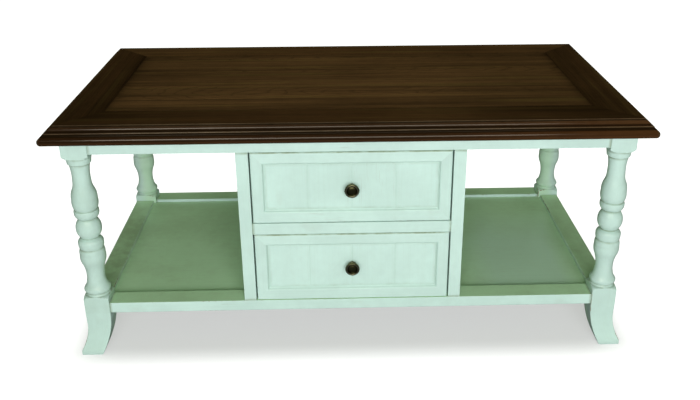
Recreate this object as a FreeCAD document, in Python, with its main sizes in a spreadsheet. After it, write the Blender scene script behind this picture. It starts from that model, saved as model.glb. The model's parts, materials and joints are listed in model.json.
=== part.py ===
import FreeCAD, Part
import math
import os
from types import SimpleNamespace

import Sketcher

# Coffee table with a moulded top, turned legs, a framed shelf and two drawers.
# Millimetres. X runs along the table, Y towards its back, Z up.
# The origin lies on the floor, under the middle of the table.

LENGTHS = {
    # Whole table
    "table_height": 520.0,
    "top_length": 1200.0,
    "top_depth": 632.0,
    "end_overhang": 31.7,
    "front_overhang": 30.1,

    # Top: mitred border round a centre field
    "border_width": 107.5,
    "field_thickness": 22.0,
    "tongue_length": 8.0,
    "tongue_thickness": 8.0,
    "tongue_clearance": 0.2,

    # Moulded edge of the top, from the upper arris down and out
    "fillet_drop": 3.0,
    "bead_reach": 7.5,
    "bead_drop": 6.5,
    "neck_drop": 2.5,
    "ledge_reach": 6.5,
    "ledge_drop": 1.5,
    "cove_reach": 2.0,
    "cove_drop": 5.0,
    "nose_radius": 8.5,
    "top_corner_round": 5.0,

    # Legs: a square blank, turned between two blocks, over a sawn foot
    "leg_width": 52.8,
    "apron_height": 28.0,
    "apron_thickness": 22.0,
    "face_setback": 1.5,
    "lower_shoulder_height": 125.0,
    "foot_splay": 15.2,
    "foot_width": 44.5,
    "toe_height": 9.0,
    "ankle_height": 70.0,
    "ankle_hollow": 0.5,
    "calf_height": 88.0,

    # Shelf: four rails round a sunk panel
    "shelf_height": 118.7,
    "shelf_rail_width": 46.0,
    "shelf_rail_thickness": 23.6,
    "shelf_panel_drop": 7.5,
    "shelf_panel_thickness": 12.0,
    "shelf_groove_depth": 8.0,
    "shelf_panel_clearance": 0.2,

    # Drawer case
    "case_width": 458.4,
    "stile_width": 25.0,
    "divider_height": 25.0,
    "divider_depth": 60.0,
    "case_side_thickness": 12.0,
    "case_side_inset": 5.0,
    "case_back_thickness": 8.0,

    # Drawer fronts: a mitred frame round a grooved panel
    "drawer_side_gap": 2.5,
    "drawer_end_gap": 1.5,
    "drawer_front_setback": 1.0,
    "front_thickness": 20.0,
    "front_frame_width": 27.3,
    "front_edge_round": 3.5,
    "ogee_width": 5.8,
    "ogee_fillet": 1.2,
    "front_panel_drop": 7.0,
    "front_panel_thickness": 8.0,
    "front_groove_depth": 5.0,
    "front_panel_clearance": 0.2,
    "board_groove_width": 3.2,
    "board_groove_depth": 1.6,

    # Drawer boxes
    "box_rear_gap": 17.8,
    "box_headroom": 18.9,
    "box_wall": 12.0,
    "box_inset": 1.0,
    "box_lift": 1.0,
    "box_bottom_thickness": 6.0,
    "box_bottom_lift": 10.0,
    "box_groove_depth": 5.0,
    "box_bottom_clearance": 0.2,

    # Runners and kickers
    "slide_clearance": 0.3,
    "guide_clearance": 1.0,
    "guide_height": 30.0,
    "ledge_under_box": 14.0,
    "kicker_height": 18.0,
    "kicker_clearance": 1.5,

    # Knobs
    "knob_radius": 14.8,
    "knob_length": 22.0,
    "knob_screw_radius": 2.0,
    "knob_screw_grip": 9.0,
    "knob_screw_head_radius": 4.2,
    "knob_screw_head_height": 2.6,
    "knob_bore_clearance": 0.1,
    "knob_hole_clearance": 0.4,
    "upper_knob_drop": 3.0,

    # Corner blocks and their screws
    "corner_block_reach": 60.0,
    "corner_block_height": 24.0,
    "wood_screw_radius": 2.2,
    "wood_screw_length": 40.0,
    "wood_screw_head_radius": 4.4,
    "wood_screw_head_height": 2.8,
    "wood_screw_clearance": 0.1,
}

# Turned profile of the leg, from the upper block down to the lower one. Each row gives the
# height as a share of the turned length, the radius as a share of half the leg's width, and
# how far the line from the row above bows out (+) or in (-), as a share of its length.
TURNING_SHARES = [
    (0.9653, 0.966, 0.18),
    (0.9261, 0.890, 0.0),
    (0.9201, 0.795, 0.0),
    (0.8115, 0.700, -0.04),
    (0.7572, 0.814, -0.05),
    (0.6848, 0.985, 0.07),
    (0.6169, 0.852, 0.09),
    (0.6139, 0.909, 0.0),
    (0.6033, 0.955, 0.15),
    (0.5665, 0.833, 0.10),
    (0.5560, 0.629, 0.0),
    (0.4917, 0.985, 0.115),
    (0.4253, 0.640, 0.117),
    (0.4193, 0.739, 0.0),
    (0.3831, 0.977, 0.20),
    (0.3605, 0.947, 0.05),
    (0.3514, 0.902, 0.0),
    (0.3394, 0.966, 0.0),
    (0.3125, 0.985, 0.06),
    (0.2413, 0.871, 0.08),
    (0.1499, 0.708, -0.05),
    (0.1207, 0.760, -0.05),
    (0.0784, 0.966, -0.08),
    (0.0483, 0.985, 0.22),
    (0.0392, 0.860, 0.0),
    (0.0256, 0.985, -0.10),
]
LOWER_SHOULDER_BOW_SHARE = 0.15
BLANK_CORNER_SHARE = 1.43

# Knob profile: radius share, height share and bow share of each line, from the foot up.
KNOB_SHARES = [
    (0.60, 0.0, 0.0),
    (0.60, 0.06, 0.0),
    (0.42, 0.14, -0.15),
    (0.31, 0.27, -0.15),
    (0.33, 0.45, -0.08),
    (0.78, 0.66, -0.16),
    (1.00, 0.80, 0.10),
    (0.80, 1.00, 0.22),
    (0.66, 0.90, 0.16),
    (0.60, 0.85, 0.0),
    (0.10, 0.955, 0.06),
    (0.0, 0.955, 0.0),
]
QUARTER_BOW_SHARE = 0.2071
COVE_BOW_SHARE = 0.16
OGEE_BOW_SHARE = 0.17
FOOT_OUTER_BOW_SHARE = 0.07
FOOT_INNER_BOW_SHARE = 0.058
FRONT_BOARDS = 4


class Size:
    """A length: its value, and the expression that works it out from the sheet."""

    def __init__(self, value, text):
        self.value = value
        self.text = text

    def __add__(self, other):
        return Size(self.value + other.value, f"({self.text} + {other.text})")

    def __sub__(self, other):
        return Size(self.value - other.value, f"({self.text} - {other.text})")

    def __mul__(self, factor):
        return Size(self.value * factor, f"({self.text} * {factor:.8f})")

    def __truediv__(self, divisor):
        return self * (1.0 / divisor)

    def __neg__(self):
        return self * -1.0


def hypotenuse(across, along):
    return Size(math.hypot(across.value, along.value), f"hypot({across.text}; {along.text})")


doc = FreeCAD.newDocument("coffee_table")
sheet = doc.addObject("Spreadsheet::Sheet", "sizes")
for row, (name, length) in enumerate(LENGTHS.items(), start=1):
    sheet.set(f"A{row}", name)
    sheet.set(f"B{row}", str(length))
    sheet.setAlias(f"B{row}", name)
doc.recompute()

size = SimpleNamespace(**{name: Size(value, f"sizes.{name}") for name, value in LENGTHS.items()})
ZERO = Size(0.0, "0")
AXIS_X = FreeCAD.Vector(1, 0, 0)
AXIS_Y = FreeCAD.Vector(0, 1, 0)
AXIS_Z = FreeCAD.Vector(0, 0, 1)
nodes = []


# General makers

def bind(item, name, length):
    item.setExpression(name, length.text)


def place(item, x, y, z, rotation=None):
    """Puts an object at a place, turned by a rotation."""
    item.Placement = FreeCAD.Placement(
        FreeCAD.Vector(x.value, y.value, z.value), rotation or FreeCAD.Rotation())
    bind(item, "Placement.Base.x", x)
    bind(item, "Placement.Base.y", y)
    bind(item, "Placement.Base.z", z)
    return item


def turned(axis, degrees):
    return FreeCAD.Rotation(axis, degrees)


def finished(item, label):
    """Gives a sub-part its name and keeps it for writing."""
    item.Label = label
    nodes.append(item)
    return item


def block(name, x, y, z):
    """A plain board between two places on each axis."""
    item = doc.addObject("Part::Box", name)
    bind(item, "Length", x[1] - x[0])
    bind(item, "Width", y[1] - y[0])
    bind(item, "Height", z[1] - z[0])
    return place(item, x[0], y[0], z[0])


def rod(name, radius, height, x, y, z, rotation=None):
    item = doc.addObject("Part::Cylinder", name)
    bind(item, "Radius", radius)
    bind(item, "Height", height)
    return place(item, x, y, z, rotation)


def cut(name, base, tools):
    """The base with each tool cut out of it in turn."""
    for count, tool in enumerate(tools, start=1):
        item = doc.addObject("Part::Cut", f"{name}_cut_{count}")
        item.Base = base
        item.Tool = tool
        base = item
    return base


def fuse(name, pieces):
    item = doc.addObject("Part::MultiFuse", f"{name}_fused")
    item.Shapes = pieces
    item.Refine = True
    return item


def group(name, pieces):
    item = doc.addObject("Part::Compound", f"{name}_group")
    item.Links = pieces
    return item


def new_body(name):
    return doc.addObject("PartDesign::Body", f"{name}_body")


def new_sketch(body, plane, name):
    """A sketch on one of the body's own origin planes."""
    sketch = body.newObject("Sketcher::SketchObject", name)
    support = next(item for item in body.Origin.OriginFeatures if item.Role == plane)
    sketch.AttachmentSupport = [(support, "")]
    sketch.MapMode = "FlatFace"
    return sketch


def fix_point(sketch, edge, end, across, along):
    """Holds one end of an edge at a place that the sheet gives."""
    for kind, axis, length in (("DistanceX", -2, across), ("DistanceY", -1, along)):
        if length.value == 0:
            sketch.addConstraint(Sketcher.Constraint("PointOnObject", edge, end, axis))
        else:
            index = sketch.addConstraint(Sketcher.Constraint(kind, -1, 1, edge, end, length.value))
            bind(sketch, f"Constraints[{index}]", length)


def draw(sketch, corners):
    """A closed outline, anticlockwise. A corner's third value bows the edge that ends there."""
    edges = []
    for index, corner in enumerate(corners):
        before = corners[index - 1]
        start = FreeCAD.Vector(before[0].value, before[1].value, 0)
        end = FreeCAD.Vector(corner[0].value, corner[1].value, 0)
        bow = corner[2] if len(corner) > 2 else 0.0
        if not bow:
            edges.append((Part.LineSegment(start, end), 1, 2, None))
            continue
        chord = end - start
        middle = (start + end) * 0.5 + FreeCAD.Vector(chord.y, -chord.x, 0) * bow
        length = hypotenuse(corner[0] - before[0], corner[1] - before[1])
        radius = length * ((1 + 4 * bow * bow) / (8 * abs(bow)))
        first, last = (1, 2) if bow > 0 else (2, 1)
        edges.append((Part.Arc(start, middle, end), first, last, radius))
    base = sketch.GeometryCount
    sketch.addGeometry([edge[0] for edge in edges], False)
    for index, (curve, first, last, radius) in enumerate(edges):
        following = (index + 1) % len(edges)
        sketch.addConstraint(Sketcher.Constraint(
            "Coincident", base + index, last, base + following, edges[following][1]))
        if radius:
            number = sketch.addConstraint(Sketcher.Constraint("Radius", base + index, radius.value))
            bind(sketch, f"Constraints[{number}]", radius)
    for index, corner in enumerate(corners):
        fix_point(sketch, base + index, edges[index][2], corner[0], corner[1])
    return sketch


def rectangle(x, y):
    return [(x[0], y[0]), (x[1], y[0]), (x[1], y[1]), (x[0], y[1])]


def pad(body, sketch, length, both_ways=False):
    feature = body.newObject("PartDesign::Pad", f"{sketch.Name}_pad")
    feature.Profile = sketch
    feature.Midplane = both_ways
    bind(feature, "Length", length)
    return feature


def pocket_through(body, sketch):
    feature = body.newObject("PartDesign::Pocket", f"{sketch.Name}_pocket")
    feature.Profile = sketch
    feature.Midplane = True
    feature.Type = "ThroughAll"
    return feature


def mitred_length(name, section, length, width, rounding=None):
    """A moulded length along X, its outer edge on the X axis, mitred at both ends. The corners
    of the whole frame can be rounded in plan."""
    body = new_body(name)
    pad(body, draw(new_sketch(body, "YZ_Plane", f"{name}_section"), section), length, True)
    past = width / 2
    far = length / 2 + past
    near = length / 2 - width - past
    ends = new_sketch(body, "XY_Plane", f"{name}_mitres")
    draw(ends, [(far, -past), (far, width + past), (near, width + past)])
    draw(ends, [(-far, -past), (-near, width + past), (-far, width + past)])
    pocket_through(body, ends)
    if rounding:
        corner = length / 2
        flank = corner - rounding
        outside = corner + rounding
        rounds = new_sketch(body, "XY_Plane", f"{name}_corners")
        draw(rounds, [(flank, -rounding), (outside, -rounding), (outside, rounding), (corner, rounding),
                      (flank, ZERO, -QUARTER_BOW_SHARE)])
        draw(rounds, [(-flank, -rounding), (-flank, ZERO), (-corner, rounding, -QUARTER_BOW_SHARE),
                      (-outside, rounding), (-outside, -rounding)])
        pocket_through(body, rounds)
    return body


# Places that several pieces share

top_thickness = (size.fillet_drop + size.bead_drop + size.neck_drop + size.ledge_drop
                 + size.cove_drop + size.nose_radius * 2)
under_top = size.table_height - top_thickness
under_apron = under_top - size.apron_height
under_shelf = size.shelf_height - size.shelf_rail_thickness
half_leg = size.leg_width / 2
frame_x = size.top_length / 2 - size.end_overhang
frame_y = size.top_depth / 2 - size.front_overhang
leg_x = frame_x - half_leg
leg_y = frame_y - half_leg
inside_legs_x = leg_x - half_leg
inside_legs_y = leg_y - half_leg
face_x = frame_x - size.face_setback
face_y = frame_y - size.face_setback
apron_inner_x = face_x - size.apron_thickness
apron_inner_y = face_y - size.apron_thickness
rail_inner_x = face_x - size.shelf_rail_width
rail_inner_y = face_y - size.shelf_rail_width
shelf_panel_top = size.shelf_height - size.shelf_panel_drop
shelf_panel_bottom = shelf_panel_top - size.shelf_panel_thickness

SIDES = {"left": -1, "right": 1}
ENDS = {"front": -1, "back": 1}
# Each corner: the sides that it lies on, and how far its leg is turned from the front left one
CORNERS = {
    "front_left": (-1, -1, 0),
    "front_right": (1, -1, 90),
    "back_right": (1, 1, 180),
    "back_left": (-1, 1, 270),
}


def span(sign, near, far):
    """From near to far on one side of the middle, the lower place first."""
    return (near, far) if sign > 0 else (-far, -near)


def both(half):
    return (-half, half)


# Corner blocks and wood screws

nook = apron_inner_x - inside_legs_x
screw_seat = (size.corner_block_reach - nook) / 2
block_middle = under_top - size.corner_block_height / 2
screw_hole_radius = size.wood_screw_radius + size.wood_screw_clearance
screw_hole_length = size.wood_screw_length + size.wood_screw_clearance
lift_screw_x = inside_legs_x - size.corner_block_reach / 2
lift_screw_y = apron_inner_y - nook / 2


def outwards(sign_x, sign_y):
    """Turns +Z to lie level and point out along a corner's diagonal."""
    return FreeCAD.Rotation(AXIS_Z, FreeCAD.Vector(sign_x, sign_y, 0))


def corner_block(corner, sign_x, sign_y):
    name = f"corner_block_{corner}"
    outline = [
        (inside_legs_x, inside_legs_y),
        (apron_inner_x, inside_legs_y),
        (apron_inner_x, inside_legs_y - size.corner_block_reach),
        (inside_legs_x - size.corner_block_reach, apron_inner_y),
        (inside_legs_x, apron_inner_y),
    ]
    body = new_body(name)
    sketch = new_sketch(body, "XY_Plane", f"{name}_outline")
    pad(body, draw(sketch, [(x * sign_x, y * sign_y) for x, y in outline]), size.corner_block_height)
    place(body, ZERO, ZERO, under_top - size.corner_block_height)
    seat_x = (inside_legs_x - screw_seat) * sign_x
    seat_y = (inside_legs_y - screw_seat) * sign_y
    across = rod(f"{name}_leg_hole", screw_hole_radius, screw_hole_length,
                 seat_x, seat_y, block_middle, outwards(sign_x, sign_y))
    upright = rod(f"{name}_top_hole", screw_hole_radius, screw_hole_length,
                  lift_screw_x * sign_x, lift_screw_y * sign_y, under_top - size.corner_block_height)
    finished(cut(name, body, [across, upright]), name)


def wood_screw(name, x, y, z, rotation=None):
    shank = rod(f"{name}_shank", size.wood_screw_radius, size.wood_screw_length, ZERO, ZERO, ZERO)
    head = rod(f"{name}_head", size.wood_screw_head_radius, size.wood_screw_head_height,
               ZERO, ZERO, -size.wood_screw_head_height)
    return place(fuse(name, [shank, head]), x, y, z, rotation)


def wood_screws():
    """One screw from each corner block into the leg, and one up into the top."""
    screws = []
    for corner, (sign_x, sign_y, _) in CORNERS.items():
        screws.append(wood_screw(
            f"leg_screw_{corner}", (inside_legs_x - screw_seat) * sign_x,
            (inside_legs_y - screw_seat) * sign_y, block_middle, outwards(sign_x, sign_y)))
        screws.append(wood_screw(
            f"top_screw_{corner}", lift_screw_x * sign_x, lift_screw_y * sign_y,
            under_top - size.corner_block_height))
    finished(group("wood_screws", screws), "wood_screws")


# Top

tongue_bottom = (top_thickness - size.field_thickness
                 + (size.field_thickness - size.tongue_thickness) / 2)
arris = size.bead_reach + size.ledge_reach + size.cove_reach + size.nose_radius


def border_section():
    """From the nosing inwards and from the underside up: the board with its moulded edge."""
    width = size.border_width
    groove_top = tongue_bottom + size.tongue_thickness
    bead_top = top_thickness - size.fillet_drop
    bead_foot = bead_top - size.bead_drop
    ledge_top = bead_foot - size.neck_drop
    ledge_foot = ledge_top - size.ledge_drop
    ledge_edge = size.cove_reach + size.nose_radius
    return [
        (size.nose_radius, ZERO, QUARTER_BOW_SHARE),
        (width, ZERO),
        (width, tongue_bottom),
        (width - size.tongue_length, tongue_bottom),
        (width - size.tongue_length, groove_top),
        (width, groove_top),
        (width, top_thickness),
        (arris, top_thickness),
        (arris, bead_top),
        (arris - size.bead_reach, bead_foot, QUARTER_BOW_SHARE),
        (arris - size.bead_reach, ledge_top),
        (ledge_edge + size.ledge_drop, ledge_top),
        (ledge_edge, ledge_foot, QUARTER_BOW_SHARE),
        (size.nose_radius, size.nose_radius * 2, -COVE_BOW_SHARE),
        (ZERO, size.nose_radius, QUARTER_BOW_SHARE),
    ]


def top_border(side, length, x, y, angle, holes):
    name = f"top_border_{side}"
    body = mitred_length(name, border_section(), length, size.border_width, size.top_corner_round)
    hole_y = size.top_depth / 2 - lift_screw_y
    tools = [rod(f"{name}_hole_{hand}", screw_hole_radius,
                 screw_hole_length - size.corner_block_height,
                 lift_screw_x * sign, hole_y, ZERO) for hand, sign in holes.items()]
    place(finished(cut(name, body, tools), name), x, y, under_top, turned(AXIS_Z, angle))


def top():
    half_length = size.top_length / 2
    half_depth = size.top_depth / 2
    top_border("front", size.top_length, ZERO, -half_depth, 0, SIDES)
    top_border("back", size.top_length, ZERO, half_depth, 180, SIDES)
    top_border("left", size.top_depth, -half_length, ZERO, -90, {})
    top_border("right", size.top_depth, half_length, ZERO, 90, {})

    field_x = half_length - size.border_width
    field_y = half_depth - size.border_width
    reach = size.tongue_length - size.tongue_clearance
    tongue_top = under_top + tongue_bottom + size.tongue_thickness - size.tongue_clearance
    board = block("field_board", both(field_x), both(field_y),
                  (size.table_height - size.field_thickness, size.table_height))
    tongue = block("field_tongue", both(field_x + reach), both(field_y + reach),
                   (under_top + tongue_bottom, tongue_top))
    finished(fuse("top_field", [board, tongue]), "top_field")


# Legs

def turned_blank(name):
    """A square blank with the turned stretch cut in it between the two blocks."""
    body = new_body(f"{name}_turning")
    blank = new_sketch(body, "XY_Plane", f"{name}_blank")
    draw(blank, rectangle(both(half_leg), both(half_leg)))
    blank.AttachmentOffset = FreeCAD.Placement(FreeCAD.Vector(0, 0, under_shelf.value), FreeCAD.Rotation())
    bind(blank, "AttachmentOffset.Base.z", under_shelf)
    pad(body, blank, under_top - under_shelf)

    turned_length = under_apron - size.lower_shoulder_height
    corner = half_leg * BLANK_CORNER_SHARE
    outside = corner + half_leg
    outline = [(corner, under_apron)]
    for height_share, radius_share, bow_share in TURNING_SHARES:
        outline.append((half_leg * radius_share,
                        size.lower_shoulder_height + turned_length * height_share, -bow_share))
    outline.append((corner, size.lower_shoulder_height, -LOWER_SHOULDER_BOW_SHARE))
    outline.append((outside, size.lower_shoulder_height))
    outline.append((outside, under_apron))
    doc.recompute()
    profile = new_sketch(body, "XZ_Plane", f"{name}_profile")
    draw(profile, outline)
    groove = body.newObject("PartDesign::Groove", f"{name}_groove")
    groove.Profile = profile
    groove.ReferenceAxis = (profile, ["V_Axis"])
    groove.Angle = 360
    return body


def foot_side(name, plane):
    """The foot as sawn to its pattern in one direction, wide enough for the other."""
    toe = half_leg + size.foot_splay
    pattern = [
        (-toe, ZERO),
        (size.foot_width - toe, ZERO),
        (half_leg, size.calf_height, FOOT_INNER_BOW_SHARE),
        (half_leg, under_shelf),
        (-half_leg, under_shelf),
        (size.ankle_hollow - half_leg, size.ankle_height),
        (-toe, size.toe_height, -FOOT_OUTER_BOW_SHARE),
    ]
    body = new_body(f"{name}_{plane[:2]}")
    sketch = new_sketch(body, plane, f"{name}_{plane[:2]}_pattern")
    pad(body, draw(sketch, pattern), toe * 2, True)
    return body


def leg(corner, sign_x, sign_y, angle):
    """Built as the front left leg about its own axis, then turned to its corner."""
    name = f"leg_{corner}"
    foot = doc.addObject("Part::Common", f"{name}_foot")
    foot.Base = foot_side(name, "XZ_Plane")
    foot.Tool = foot_side(name, "YZ_Plane")
    seat = half_leg + screw_seat
    hole = rod(f"{name}_hole", screw_hole_radius, screw_hole_length, seat, seat, block_middle,
               outwards(-1, -1))
    item = finished(cut(name, fuse(name, [turned_blank(name), foot]), [hole]), name)
    place(item, leg_x * sign_x, leg_y * sign_y, ZERO, turned(AXIS_Z, angle))


# Aprons and shelf

def aprons():
    for end, sign in ENDS.items():
        finished(block(f"{end}_apron", both(inside_legs_x), span(sign, apron_inner_y, face_y),
                       (under_apron, under_top)), f"apron_{end}")
    for side, sign in SIDES.items():
        finished(block(f"{side}_apron", span(sign, apron_inner_x, face_x), both(inside_legs_y),
                       (under_apron, under_top)), f"apron_{side}")


def shelf():
    depth = size.shelf_groove_depth
    rail = (under_shelf, size.shelf_height)
    groove = (shelf_panel_bottom, shelf_panel_top + size.shelf_panel_clearance)
    for end, sign in ENDS.items():
        name = f"shelf_rail_{end}"
        board = block(f"{name}_board", both(inside_legs_x), span(sign, rail_inner_y, face_y), rail)
        slot = block(f"{name}_slot", both(inside_legs_x),
                     span(sign, rail_inner_y, rail_inner_y + depth), groove)
        finished(cut(name, board, [slot]), name)
    for side, sign in SIDES.items():
        name = f"shelf_rail_{side}"
        board = block(f"{name}_board", span(sign, rail_inner_x, face_x), both(inside_legs_y), rail)
        slot = block(f"{name}_slot", span(sign, rail_inner_x, rail_inner_x + depth),
                     both(inside_legs_y), groove)
        finished(cut(name, board, [slot]), name)

    loose = size.shelf_panel_clearance
    far_x = rail_inner_x + depth - loose
    far_y = rail_inner_y + depth - loose
    notch_x = inside_legs_x - loose
    notch_y = inside_legs_y - loose
    quarter = [(notch_x, -far_y), (notch_x, -notch_y), (far_x, -notch_y)]
    right = quarter + [(x, -y) for x, y in reversed(quarter)]
    outline = right + [(-x, y) for x, y in reversed(right)]
    body = new_body("shelf_panel")
    pad(body, draw(new_sketch(body, "XY_Plane", "shelf_panel_outline"), outline), size.shelf_panel_thickness)
    place(finished(body, "shelf_panel"), ZERO, ZERO, shelf_panel_bottom)


# Drawer case

case_half = size.case_width / 2
opening_half = case_half - size.stile_width
side_outer = case_half - size.case_side_inset
side_inner = side_outer - size.case_side_thickness
opening_height = (under_apron - size.shelf_height - size.divider_height) / 2
divider_bottom = size.shelf_height + opening_height
divider_top = divider_bottom + size.divider_height
divider_back = face_y - size.divider_depth
LEVELS = {"upper": divider_top, "lower": size.shelf_height}


def case():
    for end, end_sign in ENDS.items():
        for side, sign in SIDES.items():
            finished(block(f"{end}_{side}_stile", span(sign, opening_half, case_half),
                           span(end_sign, apron_inner_y, face_y),
                           (size.shelf_height, under_apron)), f"case_stile_{end}_{side}")
    finished(block("divider", both(opening_half), (-face_y, -divider_back),
                   (divider_bottom, divider_top)), "drawer_divider")
    for side, sign in SIDES.items():
        name = f"case_side_{side}"
        outline = [
            (-rail_inner_y, shelf_panel_top),
            (rail_inner_y, shelf_panel_top),
            (rail_inner_y, size.shelf_height),
            (apron_inner_y, size.shelf_height),
            (apron_inner_y, under_top),
            (-apron_inner_y, under_top),
            (-apron_inner_y, size.shelf_height),
            (-rail_inner_y, size.shelf_height),
        ]
        body = new_body(name)
        pad(body, draw(new_sketch(body, "YZ_Plane", f"{name}_outline"), outline),
            size.case_side_thickness, True)
        place(finished(body, name), (side_outer - size.case_side_thickness / 2) * sign, ZERO, ZERO)
    finished(block("back_board", both(side_inner),
                   (apron_inner_y - size.case_back_thickness, apron_inner_y),
                   (size.shelf_height, under_apron)), "case_back")


front_half = opening_half - size.drawer_side_gap
box_half = front_half - size.box_inset
box_height = opening_height - size.drawer_end_gap - size.box_lift - size.box_headroom
box_back_end = apron_inner_y - size.case_back_thickness - size.box_rear_gap
run = (-divider_back, rail_inner_y)


def box_floor(opening_bottom):
    return opening_bottom + size.drawer_end_gap + size.box_lift


def runners():
    ledge_height = box_floor(size.shelf_height) - size.slide_clearance - shelf_panel_top
    for level, opening_bottom in LEVELS.items():
        ledge_top = box_floor(opening_bottom) - size.slide_clearance
        ledge_bottom = ledge_top - ledge_height
        for side, sign in SIDES.items():
            name = f"drawer_runner_{level}_{side}"
            ledge = block(f"{name}_ledge", span(sign, box_half - size.ledge_under_box, side_inner),
                          run, (ledge_bottom, ledge_top))
            guide = block(f"{name}_guide", span(sign, box_half + size.guide_clearance, side_inner),
                          run, (ledge_bottom, ledge_bottom + size.guide_height))
            finished(fuse(name, [ledge, guide]), name)


def kickers():
    """The strips above the box sides that stop an open drawer tipping."""
    strips = []
    for level, opening_bottom in LEVELS.items():
        bottom = box_floor(opening_bottom) + box_height + size.kicker_clearance
        for side, sign in SIDES.items():
            strips.append(block(f"kicker_{level}_{side}",
                                span(sign, box_half - size.ledge_under_box, side_inner),
                                run, (bottom, bottom + size.kicker_height)))
    finished(group("drawer_kickers", strips), "drawer_kickers")


# Drawers

front_face = face_y - size.drawer_front_setback
front_back = front_face - size.front_thickness
front_height = opening_height - size.drawer_end_gap * 2
frame_width = size.front_frame_width
panel_front = size.front_thickness - size.front_panel_drop
panel_thickness = size.front_panel_thickness - size.front_panel_clearance
knob_screw_hole = size.knob_screw_radius + size.knob_hole_clearance


def frame_section():
    """From the outer edge inwards and from the back to the face of the drawer front's frame."""
    thickness = size.front_thickness
    groove_back = panel_front - size.front_panel_thickness
    groove_floor = frame_width - size.front_groove_depth
    ogee_foot = panel_front + size.ogee_fillet
    edge = size.front_edge_round
    return [
        (ZERO, ZERO),
        (frame_width, ZERO),
        (frame_width, groove_back),
        (groove_floor, groove_back),
        (groove_floor, panel_front),
        (frame_width, panel_front),
        (frame_width, ogee_foot),
        (frame_width - size.ogee_width / 2, (ogee_foot + thickness) / 2, -OGEE_BOW_SHARE),
        (frame_width - size.ogee_width, thickness, OGEE_BOW_SHARE),
        (edge, thickness),
        (ZERO, thickness - edge, QUARTER_BOW_SHARE),
    ]


def front_frame(prefix, middle):
    """Four mitred lengths: each stands on its outer edge, with its face to the front."""
    half_height = front_height / 2
    members = {
        "bottom": (front_half * 2, ZERO, middle - half_height, 0),
        "left": (front_height, -front_half, middle, 90),
        "top": (front_half * 2, ZERO, middle + half_height, 180),
        "right": (front_height, front_half, middle, 270),
    }
    for side, (length, x, z, angle) in members.items():
        name = f"{prefix}_frame_{side}"
        body = finished(mitred_length(name, frame_section(), length, frame_width), name)
        place(body, x, -front_back, z, turned(AXIS_Y, angle) * turned(AXIS_X, 90))


def front_panel(prefix, middle, knob_middle):
    """A panel of equal boards, marked by V grooves, held in the frame's groove."""
    name = f"{prefix}_front_panel"
    hidden = (size.front_groove_depth - size.front_panel_clearance) * 2
    width = (front_half - frame_width) * 2 + hidden
    height = front_height - frame_width * 2 + hidden
    board = width / FRONT_BOARDS
    face = -(panel_thickness / 2)
    body = new_body(name)
    outline = new_sketch(body, "XZ_Plane", f"{name}_outline")
    draw(outline, rectangle(both(width / 2), both(height / 2)))
    pad(body, outline, panel_thickness, True)
    groove = new_sketch(body, "XY_Plane", f"{name}_groove")
    draw(groove, [(-board - size.board_groove_width / 2, face), (-board + size.board_groove_width / 2, face),
                  (-board, face + size.board_groove_depth)])
    feature = pocket_through(body, groove)
    doc.recompute()
    pattern = body.newObject("PartDesign::LinearPattern", f"{name}_grooves")
    pattern.Originals = [feature]
    pattern.Direction = (groove, ["H_Axis"])
    bind(pattern, "Length", board * (FRONT_BOARDS - 2))
    pattern.Occurrences = FRONT_BOARDS - 1
    body.Tip = pattern
    hole = rod(f"{name}_hole", knob_screw_hole, panel_thickness * 2, ZERO, panel_thickness,
               knob_middle - middle, turned(AXIS_X, 90))
    item = finished(cut(name, body, [hole]), name)
    place(item, ZERO, -(front_back + panel_front - panel_thickness / 2), middle)


def drawer_box(prefix, floor, knob_middle):
    wall = size.box_wall
    top_edge = floor + box_height
    bottom = floor + size.box_bottom_lift
    groove = (bottom, bottom + size.box_bottom_thickness + size.box_bottom_clearance)
    deep = size.box_groove_depth
    inner = box_half - wall
    length = (-front_back, box_back_end)
    front_wall = (-front_back, wall - front_back)

    board = block(f"{prefix}_front_board", both(inner), front_wall, (floor, top_edge))
    slot = block(f"{prefix}_front_slot", both(inner), (front_wall[1] - deep, front_wall[1]), groove)
    hole = rod(f"{prefix}_front_hole", knob_screw_hole, wall * 2, ZERO, wall * 1.5 - front_back,
               knob_middle, turned(AXIS_X, 90))
    finished(cut(f"{prefix}_box_front", board, [slot, hole]), f"{prefix}_box_front")

    for side, sign in SIDES.items():
        name = f"{prefix}_box_{side}"
        board = block(f"{name}_board", span(sign, inner, box_half), length, (floor, top_edge))
        slot = block(f"{name}_slot", span(sign, inner, inner + deep), length, groove)
        finished(cut(name, board, [slot]), name)

    finished(block(f"{prefix}_back_board", both(inner), (box_back_end - wall, box_back_end),
                   (groove[0] + size.box_bottom_thickness, top_edge)), f"{prefix}_box_back")
    finished(block(f"{prefix}_bottom_board", both(inner + deep - size.box_bottom_clearance),
                   (front_wall[1] - deep + size.box_bottom_clearance, box_back_end),
                   (bottom, bottom + size.box_bottom_thickness)), f"{prefix}_box_bottom")


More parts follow.
